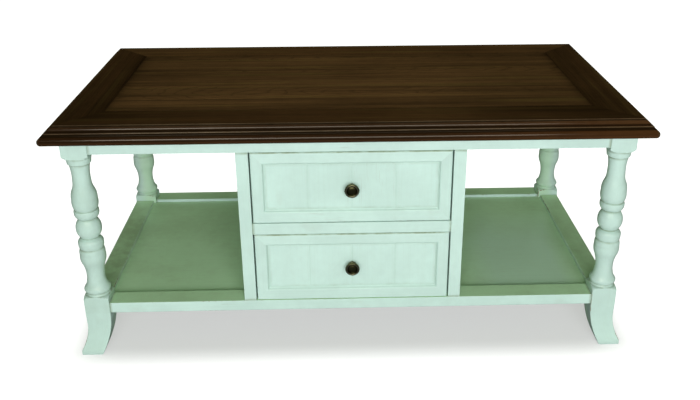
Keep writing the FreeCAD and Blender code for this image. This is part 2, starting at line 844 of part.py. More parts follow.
def knob(prefix, middle):
    """A round knob with a raised rim round a low dome, and its screw."""
    name = f"{prefix}_knob"
    bore = size.knob_screw_radius + size.knob_bore_clearance
    outline = [(bore, ZERO)]
    for radius_share, height_share, bow_share in KNOB_SHARES:
        radius = size.knob_radius * radius_share if radius_share else ZERO
        height = size.knob_length * height_share if height_share else ZERO
        outline.append((radius, height, bow_share))
    outline.append((ZERO, size.knob_screw_grip + size.knob_bore_clearance))
    outline.append((bore, size.knob_screw_grip + size.knob_bore_clearance))
    body = new_body(name)
    profile = new_sketch(body, "XZ_Plane", f"{name}_profile")
    draw(profile, outline)
    turning = body.newObject("PartDesign::Revolution", f"{name}_turning")
    turning.Profile = profile
    turning.ReferenceAxis = (profile, ["V_Axis"])
    turning.Angle = 360
    place(finished(body, name), ZERO, -(front_back + panel_front), middle, turned(AXIS_X, 90))

    seat = size.box_wall - front_back
    grip = panel_front + size.box_wall + size.knob_screw_grip
    shank = rod(f"{name}_shank", size.knob_screw_radius, grip, ZERO, ZERO, ZERO)
    head = rod(f"{name}_head", size.knob_screw_head_radius, size.knob_screw_head_height,
               ZERO, ZERO, -size.knob_screw_head_height)
    screw = finished(fuse(f"{name}_screw", [shank, head]), f"{name}_screw")
    place(screw, ZERO, seat, middle, turned(AXIS_X, 90))


def drawer(level, opening_bottom):
    prefix = f"{level}_drawer"
    middle = opening_bottom + opening_height / 2
    knob_middle = middle - size.upper_knob_drop if level == "upper" else middle
    front_frame(prefix, middle)
    front_panel(prefix, middle, knob_middle)
    drawer_box(prefix, box_floor(opening_bottom), knob_middle)
    knob(prefix, knob_middle)


# The whole table

top()
for corner_name, (x_sign, y_sign, leg_angle) in CORNERS.items():
    leg(corner_name, x_sign, y_sign, leg_angle)
    corner_block(corner_name, x_sign, y_sign)
aprons()
wood_screws()
shelf()
case()
runners()
kickers()
for level_name, level_bottom in LEVELS.items():
    drawer(level_name, level_bottom)

doc.recompute()
for item in doc.Objects:
    if "Invalid" in item.State or "Error" in item.State:
        raise RuntimeError(f"{item.Name} failed: {item.State}")
for node in nodes:
    if node.Shape.isNull() or not node.Shape.isValid():
        raise RuntimeError(f"{node.Label} has no valid shape")

os.makedirs("parts", exist_ok=True)
for node in nodes:
    node.Shape.exportStep(f"parts/{node.Label}.step")
    print(f"{node.Label}: {len(node.Shape.Solids)} solid(s), {node.Shape.Volume:.0f} cubic mm")
print(f"{len(nodes)} nodes")
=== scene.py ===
import json
import math

import bmesh
import bpy
from bpy.props import FloatProperty, FloatVectorProperty, IntProperty, PointerProperty
from mathutils import Matrix, Vector


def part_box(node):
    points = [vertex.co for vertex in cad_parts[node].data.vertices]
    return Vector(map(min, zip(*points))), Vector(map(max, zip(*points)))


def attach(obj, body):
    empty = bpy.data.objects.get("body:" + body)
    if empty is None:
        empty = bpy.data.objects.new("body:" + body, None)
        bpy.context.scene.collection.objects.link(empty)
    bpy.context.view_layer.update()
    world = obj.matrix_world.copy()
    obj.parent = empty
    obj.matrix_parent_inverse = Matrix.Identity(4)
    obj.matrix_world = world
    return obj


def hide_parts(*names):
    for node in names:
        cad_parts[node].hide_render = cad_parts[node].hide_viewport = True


bl_info = {
    "name": "Coffee Table",
    "version": (1, 0, 0),
    "blender": (4, 5, 0),
    "location": "View3D > Sidebar > Coffee Table",
    "description": "Boards, turned legs, drawers and a moulded top for a painted coffee table",
    "category": "Add Mesh",
}

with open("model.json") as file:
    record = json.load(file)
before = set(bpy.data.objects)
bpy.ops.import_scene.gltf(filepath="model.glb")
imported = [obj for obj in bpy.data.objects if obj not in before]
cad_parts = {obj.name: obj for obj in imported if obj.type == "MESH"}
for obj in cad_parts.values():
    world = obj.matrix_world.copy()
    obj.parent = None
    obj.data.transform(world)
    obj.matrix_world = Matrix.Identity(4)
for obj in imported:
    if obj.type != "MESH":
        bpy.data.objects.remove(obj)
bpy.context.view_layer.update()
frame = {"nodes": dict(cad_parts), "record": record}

BODY_OF = {
    node: body
    for body, nodes in frame["record"]["behaviour"]["bodies"].items()
    for node in nodes
}
SIDES = ("left", "right")
ENDS = ("front", "back")
LEVELS = ("upper", "lower")
# Each face's axis, and whether it lies at the low or the high end of it
FACES = {"left": (0, 0), "right": (0, 1), "front": (1, 0), "back": (1, 1), "below": (2, 0), "above": (2, 1)}
TINY = 1e-6

# How far each leg is turned from the front left one, in degrees
LEG_TURNS = {"front_left": 0, "front_right": 90, "back_right": 180, "back_left": 270}
# Each leg's glaze and painted shade: its share of glaze in the creases, the least glaze anywhere, and its
# share of the painted shade on the inner side
LEG_GLAZE_AND_SHADE = {
    "front_left": (0.90, 0.15, 1.0),
    "front_right": (0.95, 0.03, 1.0),
    "back_left": (0.45, 0.0, 1.5),
    "back_right": (0.35, 0.0, 1.5),
}
# The share of a leg's least glaze that is left on its foot
FOOT_GLAZE_SHARE = 0.5
# From where to where the leg's inner side counts as facing the table's middle, where shade is painted on it:
# nought is square to that direction and one is straight towards it
INNER_SIDE = (0.2, 1.0)
# How far each border is turned from the front one, in degrees, and how much darker it is made as a share, all
# over and at its joint with the field
BORDERS = {
    "front": (0, 0.56, 0.26),
    "right": (90, 0.76, 0.42),
    "back": (180, 0.05, 0.10),
    "left": (270, 0.96, 0.36),
}

# How much darker the stain is beside the field's joint, and how soon that fades, as a share of
# the shade's reach
FIELD_JOINT_STAIN = 0.8
FIELD_JOINT_FADE_SHARE = 0.3
# Where the colour of the top begins to change, where the change is full, and how large it is
# Painted shade: the field darkens towards its ends, round a painted pool of light in its middle
FIELD_ENDS_PAINTED_SHADE = (0.10, 0.48, 0.36)
FIELD_FRONT_LIGHTER = (0.15, 0.02, 0.26)
BORDER_ENDS_DARKER = (0.12, 0.50, 0.45)
# Painted highlight: the front moulding is made lighter towards its right end, as a broad warm highlight
MOULDING_RIGHT_HIGHLIGHT = (0.20, 0.55, 1.20)
# How far left of the table's middle the painted pool of light on the field is brightest
PAINTED_LIGHT_MIDDLE = 0.03
# How dark the moulding is made under the middle of its nosing, and above it; under it, the lighter colour is
# painted light from the floor
NOSE_UNDERSIDE_PAINTED_LIGHT = 0.45
MOULDING_DARKENING = 1.15
# Glaze in the moulding's lower and upper hollow
COVE_GLAZE = 1.0
NECK_GLAZE = 0.9
# Where loops stand beside the joint of field and border, as shares of the shade's reach
SHADE_LOOP_SHARES = (0.15, 0.35, 0.65, 1.0)
# How far the border's last loop stands from the joint, and from where to where the border's own
# joint stain fades in, as shares of the same reach
BORDER_LAST_LOOP = 1.6
BORDER_JOINT_FADE = (1.0, 0.1)
# How far apart the field's extra loops stand, and how many there are each side of the middle
# and behind the front
FIELD_LOOP_GAP = 0.05
FIELD_SIDE_LOOPS = 8
FIELD_FRONT_LOOPS = 3
# Where the borders' extra loops stand, as shares of their length from the middle
BORDER_LOOP_SHARES = (0.12, 0.30)

# A painted sheen on the shelf's right bay, a lighter patch that stands in for a soft reflection: where it
# starts and ends along x, where it ends behind, and how much shade it loses
SHEEN_PATCH_START = (0.25, 0.33)
SHEEN_PATCH_END = (0.47, 0.515)
SHEEN_PATCH_BACK = (-0.02, 0.16)
SHEEN_PATCH_SHARE = 0.45
# The shares of wear left on the front and back aprons and shelf rails
APRON_WEAR = 0.5
SHELF_RAIL_WEAR = 0.85
# How far the glaze and painted shade reach on the shelf's panel beside its front and back rails, as a share
# of the worn reach, where a loop stands in that, and how steeply they fade
PANEL_REACH_SHARE = 1.1
PANEL_LOOP_SHARE = 0.35
PANEL_GLAZE_POWER = 1.5
# The shade on the side rails' faces beside and below
RAIL_SIDE_SHADE = 0.5
# The least glaze and painted shade on the shelf's side rails, and how far from their back ends it begins to
# fade, as painted light from behind
RAIL_SHADE_WASH = {"left": 0.55, "right": 0.22}
BACK_LIGHT_FADE = 0.14
# Glaze on the drawers' panels, as shares in the grooves and beside the frame
GROOVE_GLAZE_SHARE = 0.13
PANEL_EDGE_GLAZE = 0.30
# Where the loops of a V groove stand, as shares of its width from its middle
GROOVE_LOOP_SHARES = (-2.0, -0.5, 0.0, 0.5, 2.0)
# The glaze left on a frame's members, and the lower member's rounding, both as shares
FRAME_GLAZE_SHARE = 0.25
LOWER_EDGE_SHARE = 0.25

# How sharply a surface bends, per metre, where a crest begins to wear and is worn through, and
# where a hollow begins to hold glaze and is full of it
BOARD_BENDS = ((110.0, 420.0), (60.0, 320.0))
MOULDING_BENDS = ((90.0, 300.0), (60.0, 260.0))
KNOB_BENDS = ((260.0, 1200.0), (150.0, 900.0))

# The shares of wear and glaze that reach the points beside a marked one
WEAR_SPREAD = 0.55
GLAZE_SPREAD = 0.45
# How many shifts of the grain there are, and how far one goes along it and through it
GRAIN_SHIFTS = 89
SHIFT_ALONG = 0.37
SHIFT_THROUGH = 0.11
# The least angles of a corner that is eased on a board and on a moulding, and of one that isn't
# shaded smoothly
BOARD_CORNER = math.radians(60)
MOULDING_CORNER = math.radians(40)
SHARP_CORNER = math.radians(34)

# How long the short lengths are that make up a curve
MOULDING_STEP = 0.0012
OGEE_STEP = 0.0008
TURNING_STEP = 0.0028
UPPER_BLOCK_STEP = 0.006
LOWER_BLOCK_STEP = 0.004
FOOT_STEP = 0.003
KNOB_STEP = 0.0006
# Faces round a knob
KNOB_FACES = 96
# Height of the lowest ring of points over a leg's sole, and the share of the foot's width that
# the sole has
SOLE_HEIGHT = 0.0012
SOLE_SHARE = 0.97

# How finely each pattern is drawn along, across and through the grain, in waves per metre
STREAK_WAVES = (1.8, 46.0, 46.0)
RIPPLE_WAVES = (9.0, 60.0, 60.0)
PORE_WAVES = (38.0, 900.0, 900.0)
FIBRE_WAVES = (14.0, 420.0, 420.0)
FINE_STROKE_WAVES = (7.0, 520.0, 520.0)
BROAD_STROKE_WAVES = (3.0, 95.0, 95.0)
STAIN_WAVES = (11.0, 19.0, 19.0)
SCRATCH_WAVES = (22.0, 420.0, 420.0)
SCRATCHED_PATCH_WAVES = (6.0, 9.0, 9.0)
# Width of each wood's planks, spacing of its rings, and their taper and wander
FIELD_PLANKS = (0.139, 0.0048, 0.085, 0.050)
BORDER_PLANKS = (0.30, 0.0055, 0.050, 0.070)
DRAWER_PLANKS = (0.16, 0.0042, 0.05, 0.035)
# The part of the haze's values over which a finish's tone and its sheen change
TONE_HAZE = (0.36, 0.66)
SHEEN_HAZE = (0.35, 0.70)

# Each lamp's place, the point that it faces, and its width and height
LAMPS = {
    "overhead": ((0.0, 0.15, 2.7), (0.0, 0.05, 0.4), (2.2, 1.0)),
    "gloss": ((-0.1, -2.35, 2.25), (0.0, -0.3, 0.5), (2.4, 1.05)),
    "side gloss": ((-0.9, -2.3, 2.2), (-0.35, -0.3, 0.5), (0.7, 1.0)),
    "front": ((0.10, -3.3, 1.2), (0.0, 0.0, 0.3), (2.1, 1.2)),
}
# The side gloss lamp's power as a share of the gloss lamp's
SIDE_GLOSS_SHARE = 0.15
# Width of the camera's sensor in millimetres, and squares along each side of the floor
SENSOR_WIDTH = 36.0
FLOOR_SQUARES = 8


# Settings that a user would change

def length(name, description, default):
    return FloatProperty(name=name, description=description, default=default, min=0.0,
                         unit="LENGTH", subtype="DISTANCE", precision=5)


def share(name, description, default):
    return FloatProperty(name=name, description=description, default=default, subtype="FACTOR",
                         soft_min=0.0, soft_max=1.0)


def colour(name, description, default):
    return FloatVectorProperty(name=name, description=description, default=default, size=3,
                               min=0.0, max=1.0, subtype="COLOR")


def power(name, description, default):
    return FloatProperty(name=name, description=description, default=default, min=0.0, unit="POWER")


def tilt(name, description, degrees):
    return FloatProperty(name=name, description=description, default=math.radians(degrees),
                         unit="ROTATION", subtype="ANGLE")


class EdgeMoulding(bpy.types.PropertyGroup):
    """The moulded edge of the top, from its upper arris down and out."""
    fillet_drop: length("Fillet Drop", "Height of the upright step under the flat of the top", 0.003)
    bead_reach: length("Bead Reach", "How far the rounded bead comes out", 0.0075)
    bead_drop: length("Bead Drop", "Height of the rounded bead", 0.0065)
    neck_drop: length("Neck Drop", "Height of the upright neck under the bead", 0.0025)
    ledge_reach: length("Ledge Reach", "How far the small rounded ledge comes out", 0.0065)
    ledge_drop: length("Ledge Drop", "Height and rounding of the ledge", 0.0015)
    cove_reach: length("Cove Reach", "How far the cove comes out", 0.002)
    nose_radius: length("Nose Radius", "Radius of the round nosing", 0.0085)
    corner_radius: length("Corner Radius", "Rounding of the top's corners, seen from above", 0.005)
    easing: length("Easing", "How far the sharp corners of the moulding are eased", 0.0006)


class LegShape(bpy.types.PropertyGroup):
    """The turned leg and its sawn foot."""
    shoulder_height: length("Shoulder Height", "Height of the lower square block", 0.125)
    splay: length("Splay", "How far the toe stands out from the block", 0.0152)
    foot_width: length("Foot Width", "Width of the foot on the floor", 0.0445)
    toe_height: length("Toe Height", "Height of the upright tip of the toe", 0.009)
    ankle_height: length("Ankle Height", "Height of the ankle on the outer side", 0.07)
    ankle_hollow: length("Ankle Hollow", "How far the ankle is sawn in", 0.0005)
    calf_height: length("Calf Height", "Height where the inner curve starts", 0.088)
    corner_radius: length("Corner Radius", "Rounding of the block's upright corners", 0.002)
    # Painted shade: the share of shade painted on the side that faces the table's middle, where the table
    # shades it
    inner_glaze: share("Inner Glaze", "Glaze left on the side that faces the table's middle", 0.32)
    steps: IntProperty(name="Steps", description="Faces round the turning", default=128, min=16)


class DrawerShape(bpy.types.PropertyGroup):
    """The framed and grooved front of a drawer."""
    edge_round: length("Edge Round", "Rounding of the front's outer edge", 0.0035)
    ogee_width: length("Ogee Width", "Width of the moulding inside the frame", 0.0058)
    ogee_fillet: length("Ogee Fillet", "Height of the step at the foot of the moulding", 0.0012)
    panel_drop: length("Panel Drop", "How far the panel lies behind the frame", 0.007)
    groove_width: length("Groove Width", "Width of a V groove between two boards", 0.0032)
    groove_depth: length("Groove Depth", "Depth of a V groove between two boards", 0.0007)
    hidden_edge: length("Hidden Edge", "How far the panel reaches into the frame", 0.0048)
    boards: IntProperty(name="Boards", description="Boards in the panel", default=4, min=1)


class BoardEdges(bpy.types.PropertyGroup):
    """How the edges of the flat boards are worked."""
    easing: length("Easing", "Rounding of a painted board's edges", 0.0012)
    fine_easing: length("Fine Easing", "Rounding where two boards meet", 0.0005)
    worn_reach: length("Worn Reach", "How far wear and glaze reach from an edge", 0.006)
    shade_reach: length("Shade Reach", "How far the dark stain reaches from the border's joint", 0.034)


class Finishes(bpy.types.PropertyGroup):
    """The colours of the finishes."""
    field_dark: colour("Field Dark", "Dark grain of the centre field", (0.021, 0.0113, 0.0040))
    field_light: colour("Field Light", "Light grain of the centre field", (0.069, 0.0358, 0.0126))
    border_dark: colour("Border Dark", "Dark grain of the border", (0.020, 0.0112, 0.0040))
    border_light: colour("Border Light", "Light grain of the border", (0.057, 0.0278, 0.0096))
    golden: colour("Golden Grain", "Yellower streaks in the walnut", (0.066, 0.0415, 0.0120))
    edge_stain: colour("Edge Stain", "Redder stain on the moulded edge", (0.050, 0.0180, 0.0046))
    # Partly painted highlight: besides worn stain, this lighter, greyer colour on the moulding's crests and
    # arrises stands in for highlights
    rubbed: colour("Rubbed Walnut", "Stain rubbed thin on the crests of the moulding", (0.105, 0.072, 0.040))
    paint: colour("Paint", "Paint of the base", (0.598, 0.785, 0.736))
    # Painted shade: the greener paint that stands in for shade under the top, mixed in by the shade mark on
    # the shelf, the rail tops and the legs' inner sides
    shelf_paint: colour("Shelf Paint", "Paint of the shelf, under more glaze", (0.615, 0.90, 0.575))
    # The glaze colour also stands in for painted shade, where the shade mark is and in the drawers' gaps
    glaze: colour("Glaze", "Glaze that collects in corners", (0.17, 0.22, 0.090))
    worn_wood: colour("Worn Wood", "Wood that shows through worn paint", (0.25, 0.17, 0.09))
    drawer_dark: colour("Drawer Dark", "Dark grain of the drawer boxes", (0.40, 0.265, 0.145))
    drawer_light: colour("Drawer Light", "Light grain of the drawer boxes", (0.60, 0.44, 0.27))
    bronze: colour("Bronze", "Aged bronze of the knobs", (0.105, 0.110, 0.058))
    bright_bronze: colour("Bright Bronze", "Bronze polished by hands", (0.85, 0.82, 0.70))
    zinc: colour("Zinc", "Plating of the screws", (0.56, 0.56, 0.54))


class StageSettings(bpy.types.PropertyGroup):
    """The floor, the lamps and the camera."""
    place: FloatVectorProperty(name="Camera Place", description="Where the camera stands", size=3,
                               default=(-0.028788, -1.817617, 1.060490), unit="LENGTH",
                               subtype="TRANSLATION")
    pitch: tilt("Pitch", "How far the camera looks down", 24.240)
    yaw: tilt("Yaw", "How far the camera looks to the right", 1.8534)
    roll: tilt("Roll", "How far the camera leans", -0.0986)
    lens: FloatProperty(name="Lens", description="Focal length in millimetres on the sensor",
                        default=42.984, unit="CAMERA")
    shift_x: FloatProperty(name="Shift X", description="Shift of the picture across", default=-0.01737)
    shift_y: FloatProperty(name="Shift Y", description="Shift of the picture up", default=-0.01247)
    overhead_power: power("Overhead Power", "Soft lamp above the table, in watts", 40.0)
    gloss_power: power("Gloss Power", "Wide lamp that only glossy surfaces show, in watts", 44.0)
    front_power: power("Front Power", "Soft lamp in front of the table, in watts", 90.0)
    fill: share("Fill", "Strength of the light from all round", 0.18)
    fill_colour: colour("Fill Colour", "Colour of the light from all round", (0.72, 1.0, 0.50))
    gloss_colour: colour("Gloss Colour", "Colour of the lamps that only glossy surfaces show",
                         (1.0, 0.92, 0.76))
    gloss_fill: share("Gloss Fill", "Strength of the room that glossy surfaces show", 0.045)
    gloss_fill_colour: colour("Gloss Fill Colour", "Colour of the room that glossy surfaces show",
                              (0.85, 0.70, 0.36))
    floor_gloss: share("Floor Gloss", "Strength of the floor that glossy surfaces show", 0.06)
    # Painted shadow: the floor's glow under the table, lower than the white round it
    floor_glow: share("Floor Glow", "The floor's own white under the table", 0.46)
    shadow_x: length("Shadow X", "How far the floor stays darker along the table, from its middle", 0.54)
    shadow_y: length("Shadow Y", "How far the floor stays darker across the table, from its middle", 0.27)
    shadow_fade: length("Shadow Fade", "How far the darker floor takes to fade", 0.12)
    floor_colour: colour("Floor Colour", "Colour of the floor", (0.42, 0.42, 0.42))
    floor_radius: length("Floor Radius", "Half the width of the floor", 30.0)


class CoffeeTableSettings(bpy.types.PropertyGroup):
    """Everything that the table's operators read."""
    moulding: PointerProperty(type=EdgeMoulding)
    leg: PointerProperty(type=LegShape)
    drawer: PointerProperty(type=DrawerShape)
    edges: PointerProperty(type=BoardEdges)
    finishes: PointerProperty(type=Finishes)
    stage: PointerProperty(type=StageSettings)


# Turned profile of the leg, from the upper block down. Each row gives the height as a share of
# the turned length, the radius as a share of half the leg's width, and how far the line from the
# row above bows out (+) or in (-), as a share of its length.
TURNING_SHARES = [
    (0.9653, 0.966, 0.18),
    (0.9261, 0.890, 0.0),
    (0.9201, 0.795, 0.0),
    (0.8115, 0.700, -0.04),
    (0.7572, 0.814, -0.05),
    (0.6848, 0.985, 0.07),
    (0.6169, 0.852, 0.09),
    (0.6139, 0.909, 0.0),
    (0.6033, 0.955, 0.15),
    (0.5665, 0.833, 0.10),
    (0.5560, 0.629, 0.0),
    (0.4917, 0.985, 0.115),
    (0.4253, 0.640, 0.117),
    (0.4193, 0.739, 0.0),
    (0.3831, 0.977, 0.20),
    (0.3605, 0.947, 0.05),
    (0.3514, 0.902, 0.0),
    (0.3394, 0.966, 0.0),
    (0.3125, 0.985, 0.06),
    (0.2413, 0.871, 0.08),
    (0.1499, 0.708, -0.05),
    (0.1207, 0.760, -0.05),
    (0.0784, 0.966, -0.08),
    (0.0483, 0.985, 0.22),
    (0.0392, 0.860, 0.0),
    (0.0256, 0.985, -0.10),
]
LOWER_SHOULDER_BOW_SHARE = 0.15
BLANK_CORNER_SHARE = 1.43

# Knob profile: radius share, height share and bow share of each line, from the foot up
KNOB_SHARES = [
    (0.60, 0.0, 0.0),
    (0.60, 0.06, 0.0),
    (0.42, 0.14, -0.15),
    (0.31, 0.27, -0.15),
    (0.33, 0.45, -0.08),
    (0.78, 0.66, -0.16),
    (1.00, 0.80, 0.10),
    (0.80, 1.00, 0.22),
    (0.66, 0.90, 0.16),
    (0.60, 0.85, 0.0),
    (0.10, 0.955, 0.06),
    (0.0, 0.955, 0.0),
]
# Where the sections of a rounded corner stand, as shares of its radius
CORNER_SHARES = [0.17, 0.33, 0.5, 0.67, 0.83, 1.0, 1.6]
QUARTER_BOW_SHARE = 0.2071
COVE_BOW_SHARE = 0.16
OGEE_BOW_SHARE = 0.17
FOOT_OUTER_BOW_SHARE = 0.07
FOOT_INNER_BOW_SHARE = 0.058


# Outlines

def arc(start, end, bow, step):
    """Points after the start on an arc to the end; it bows to the right by a share of its chord."""
    chord = Vector((end[0] - start[0], end[1] - start[1]))
    count = max(1, math.ceil(chord.length / step))
    if not bow or chord.length < TINY:
        return [(start[0] + chord.x * i / count, start[1] + chord.y * i / count) for i in range(1, count + 1)]
    count = max(count, 4)
    right = Vector((chord.y, -chord.x)).normalized() * math.copysign(1.0, bow)
    rise = abs(bow) * chord.length
    radius = chord.length * (1 + 4 * bow * bow) / (8 * abs(bow))
    centre = (Vector(start) + Vector(end)) / 2 - right * (radius - rise)
    half = 2 * math.atan(2 * abs(bow))
    points = []
    for i in range(1, count + 1):
        turn = half * (2 * i / count - 1)
        points.append(tuple(centre + right * (radius * math.cos(turn))
                            + chord.normalized() * (radius * math.sin(turn))))
    return points


def outline(corners, step):
    """A closed outline with its arcs worked out; a corner's third value bows the line to it."""
    points = []
    for index, corner in enumerate(corners):
        before = corners[index - 1]
        bow = corner[2] if len(corner) > 2 else 0.0
        points += arc(before[:2], corner[:2], bow, step if bow else math.inf)
    return points


# Mesh makers

def slice_at(bm, axis, place):
    """Cuts an edge loop square to an axis."""
    point = Vector((0.0, 0.0, 0.0))
    point[axis] = place
    normal = Vector((0.0, 0.0, 0.0))
    normal[axis] = 1.0
    bmesh.ops.bisect_plane(bm, geom=bm.verts[:] + bm.edges[:] + bm.faces[:], dist=TINY,
                           plane_co=point, plane_no=normal)


def slice_inside(bm, axis, low, high, *insets):
    """Cuts loops square to an axis at distances inside both ends."""
    for inset in insets:
        slice_at(bm, axis, low + inset)
        slice_at(bm, axis, high - inset)


def corners_of(bm):
    """The lowest and highest corner of a mesh."""
    low = Vector([min(vert.co[axis] for vert in bm.verts) for axis in range(3)])
    high = Vector([max(vert.co[axis] for vert in bm.verts) for axis in range(3)])
    return low, high


def ease(bm, edges, width, segments):
    """Rounds edges, where there are any."""
    if width > 0.0 and edges:
        bmesh.ops.bevel(bm, geom=edges, offset=width, offset_type="OFFSET", segments=segments,
                        profile=0.5, affect="EDGES", material=-1, clamp_overlap=True)


def hard_edges(bm, angle):
    """The edges where two faces meet at more than an angle."""
    return [edge for edge in bm.edges if edge.is_manifold and edge.calc_face_angle() > angle]


def board(low, high, easing, reach):
    """A flat board between two corners, with a loop close to each edge and its edges eased."""
    bm = bmesh.new()
    bmesh.ops.create_cube(bm, size=1.0)
    span = high - low
    bmesh.ops.scale(bm, vec=span, verts=bm.verts)
    bmesh.ops.translate(bm, vec=(low + high) / 2, verts=bm.verts)
    for axis in range(3):
        if span[axis] > reach * 3:
            slice_inside(bm, axis, low[axis], high[axis], reach)
    ease(bm, hard_edges(bm, BOARD_CORNER), easing, 3)
    return bm


def slab(points, axis, low, high, reach):
    """A board sawn to an outline, which lies square to an axis; it is between two places on it."""
    bm = bmesh.new()
    verts = []
    for first, second in points:
        place = [first, second]
        place.insert(axis, low)
        verts.append(bm.verts.new(place))
    face = bm.faces.new(verts)
    raised = bmesh.ops.extrude_face_region(bm, geom=[face])
    move = Vector((0.0, 0.0, 0.0))
    move[axis] = high - low
    upper = [item for item in raised["geom"] if isinstance(item, bmesh.types.BMVert)]
    bmesh.ops.translate(bm, vec=move, verts=upper)
    bmesh.ops.recalc_face_normals(bm, faces=bm.faces)
    for across in range(3):
        start, end = corners_of(bm)
        if end[across] - start[across] > reach * 3:
            slice_inside(bm, across, start[across], end[across], reach)
    return bm


def moulded_length(points, whole, easing, stations=()):
    """A moulded length along X, mitred at both ends, with an outline that runs in from the edge
    and up. The stations are extra sections, parallel to the mitre, at distances from each end."""
    bm = bmesh.new()
    face = bm.faces.new([bm.verts.new((inward - whole / 2, inward, up)) for inward, up in points])
    near = [(-1.0, station) for station in sorted(stations)]
    far = [(1.0, station) for station in sorted(stations, reverse=True)]
    for count, (side, station) in enumerate(near + far + [(1.0, 0.0)]):
        raised = bmesh.ops.extrude_face_region(bm, geom=[face])["geom"]
        if count:
            bmesh.ops.delete(bm, geom=[face], context="FACES_ONLY")
        for vert in raised:
            if isinstance(vert, bmesh.types.BMVert):
                vert.co.x = (whole / 2 - vert.co.y - station) * side
        face = next(item for item in raised if isinstance(item, bmesh.types.BMFace))
    bmesh.ops.recalc_face_normals(bm, faces=bm.faces)
    along = [edge for edge in hard_edges(bm, MOULDING_CORNER)
             if abs(edge.verts[0].co.y - edge.verts[1].co.y) < TINY
             and abs(edge.verts[0].co.z - edge.verts[1].co.z) < TINY]
    ease(bm, along, easing, 2)
    return bm


def spun(points, steps):
    """A turning about Z from (radius, height) points."""
    bm = bmesh.new()
    verts = [bm.verts.new((radius, 0.0, height)) for radius, height in points]
    edges = [bm.edges.new(pair) for pair in zip(verts, verts[1:])]
    bmesh.ops.spin(bm, geom=verts + edges, cent=(0.0, 0.0, 0.0), axis=(0.0, 0.0, 1.0),
                   dvec=(0.0, 0.0, 0.0), angle=math.tau, steps=steps, use_merge=True, use_duplicate=False)
    bmesh.ops.remove_doubles(bm, verts=bm.verts, dist=TINY)
    bmesh.ops.recalc_face_normals(bm, faces=bm.faces)
    return bm


def round_corners(bm, whole, radius):
    """Rounds the mitred ends of a moulded length in plan; an inner line gets a smaller radius."""
    for vert in bm.verts:
        side = math.copysign(1.0, vert.co.x)
        inset = vert.co.y
        outward = whole / 2 - abs(vert.co.x)
        if inset >= radius or outward >= radius:
            continue
        turn = math.pi / 4 * (1.0 - (outward - inset) / (radius - inset))
        vert.co.x = side * (whole / 2 - radius + (radius - inset) * math.sin(turn))
        vert.co.y = radius - (radius - inset) * math.cos(turn)


def put(bm, place, *turns):
    """Turns a mesh by angles about axes, the last one first, and moves it to its place."""
    matrix = Matrix.Translation(place)
    for angle, axis in turns:
        matrix = matrix @ Matrix.Rotation(angle, 4, axis)
    bmesh.ops.transform(bm, matrix=matrix, verts=bm.verts)


# Marks on the mesh that the finishes read

def layer(bm, name):
    """A mark's layer by its name, new where the mesh hasn't got it."""
    layers = bm.verts.layers.float
    return layers.get(name) or layers.new(name)


def smooth_step(low, high, value):
    """Grows smoothly from nothing at the low end to one at the high end."""
    part = min(1.0, max(0.0, (value - low) / (high - low)))
    return part * part * (3.0 - 2.0 * part)


def ramp(value, start, end, amount):
    """Grows smoothly from nothing at the start to an amount at the end, whichever is higher."""
    return amount * smooth_step(start, end, value)


def spread(bm, mark, share_left):
    """Lets a mark reach the neighbouring points, where a share of it is left."""
    values = {vert: vert[mark] for vert in bm.verts}
    for vert in bm.verts:
        around = max((values[edge.other_vert(vert)] for edge in vert.link_edges), default=0.0)
        vert[mark] = max(values[vert], around * share_left)


def mark_creases(bm, bends=BOARD_BENDS):
    """Marks crests as worn and hollows as glazed, by how sharply the surface bends."""
    worn_bend, glaze_bend = bends
    worn = layer(bm, "worn")
    glaze = layer(bm, "glaze")
    bm.normal_update()
    bend = {}
    for edge in bm.edges:
        if edge.is_manifold:
            across = sum(face.calc_area() for face in edge.link_faces) / max(edge.calc_length(), TINY) / 2
            bend[edge] = edge.calc_face_angle_signed(0.0) / max(across, TINY)
    for vert in bm.verts:
        around = [bend[edge] for edge in vert.link_edges if edge in bend] or [0.0]
        vert[worn] = smooth_step(*worn_bend, max(around))
        vert[glaze] = smooth_step(*glaze_bend, -min(around))
    spread(bm, worn, WEAR_SPREAD)
    spread(bm, glaze, GLAZE_SPREAD)


def mark_seams(bm, seams, reach):
    """Marks glaze instead of wear beside the faces that meet another piece."""
    worn = layer(bm, "worn")
    glaze = layer(bm, "glaze")
    corners = corners_of(bm)
    for seam in seams:
        axis, end = FACES[seam]
        for vert in bm.verts:
            near = 1.0 - abs(vert.co[axis] - corners[end][axis]) / reach
            if near > 0.0:
                vert[glaze] = max(vert[glaze], near)
                vert[worn] *= 1.0 - near


def weaken(bm, name, share_left):
    """Lowers a mark to a share of itself all over."""
    mark = layer(bm, name)
    for vert in bm.verts:
        vert[mark] *= share_left


def mark_shade(bm, height, below=0.0):
    """Marks the points at a height, where the finish is darker, and those below it with a share."""
    shade = layer(bm, "shade")
    for vert in bm.verts:
        vert[shade] = 1.0 if vert.co.z > height - TINY else below


def mark_grain(bm, along, name):
    """Writes each point's place along the grain, across it and through it, shifted for each piece."""
    grain = bm.verts.layers.float_vector.new("grain")
    order = {"X": (0, 1, 2), "Y": (1, 0, 2), "Z": (2, 0, 1)}[along]
    shift = sum(ord(letter) * (place + 1) for place, letter in enumerate(name)) % GRAIN_SHIFTS
    for vert in bm.verts:
        first, second, third = (vert.co[axis] for axis in order)
        vert[grain] = (first + shift * SHIFT_ALONG, second, third + shift * SHIFT_THROUGH)


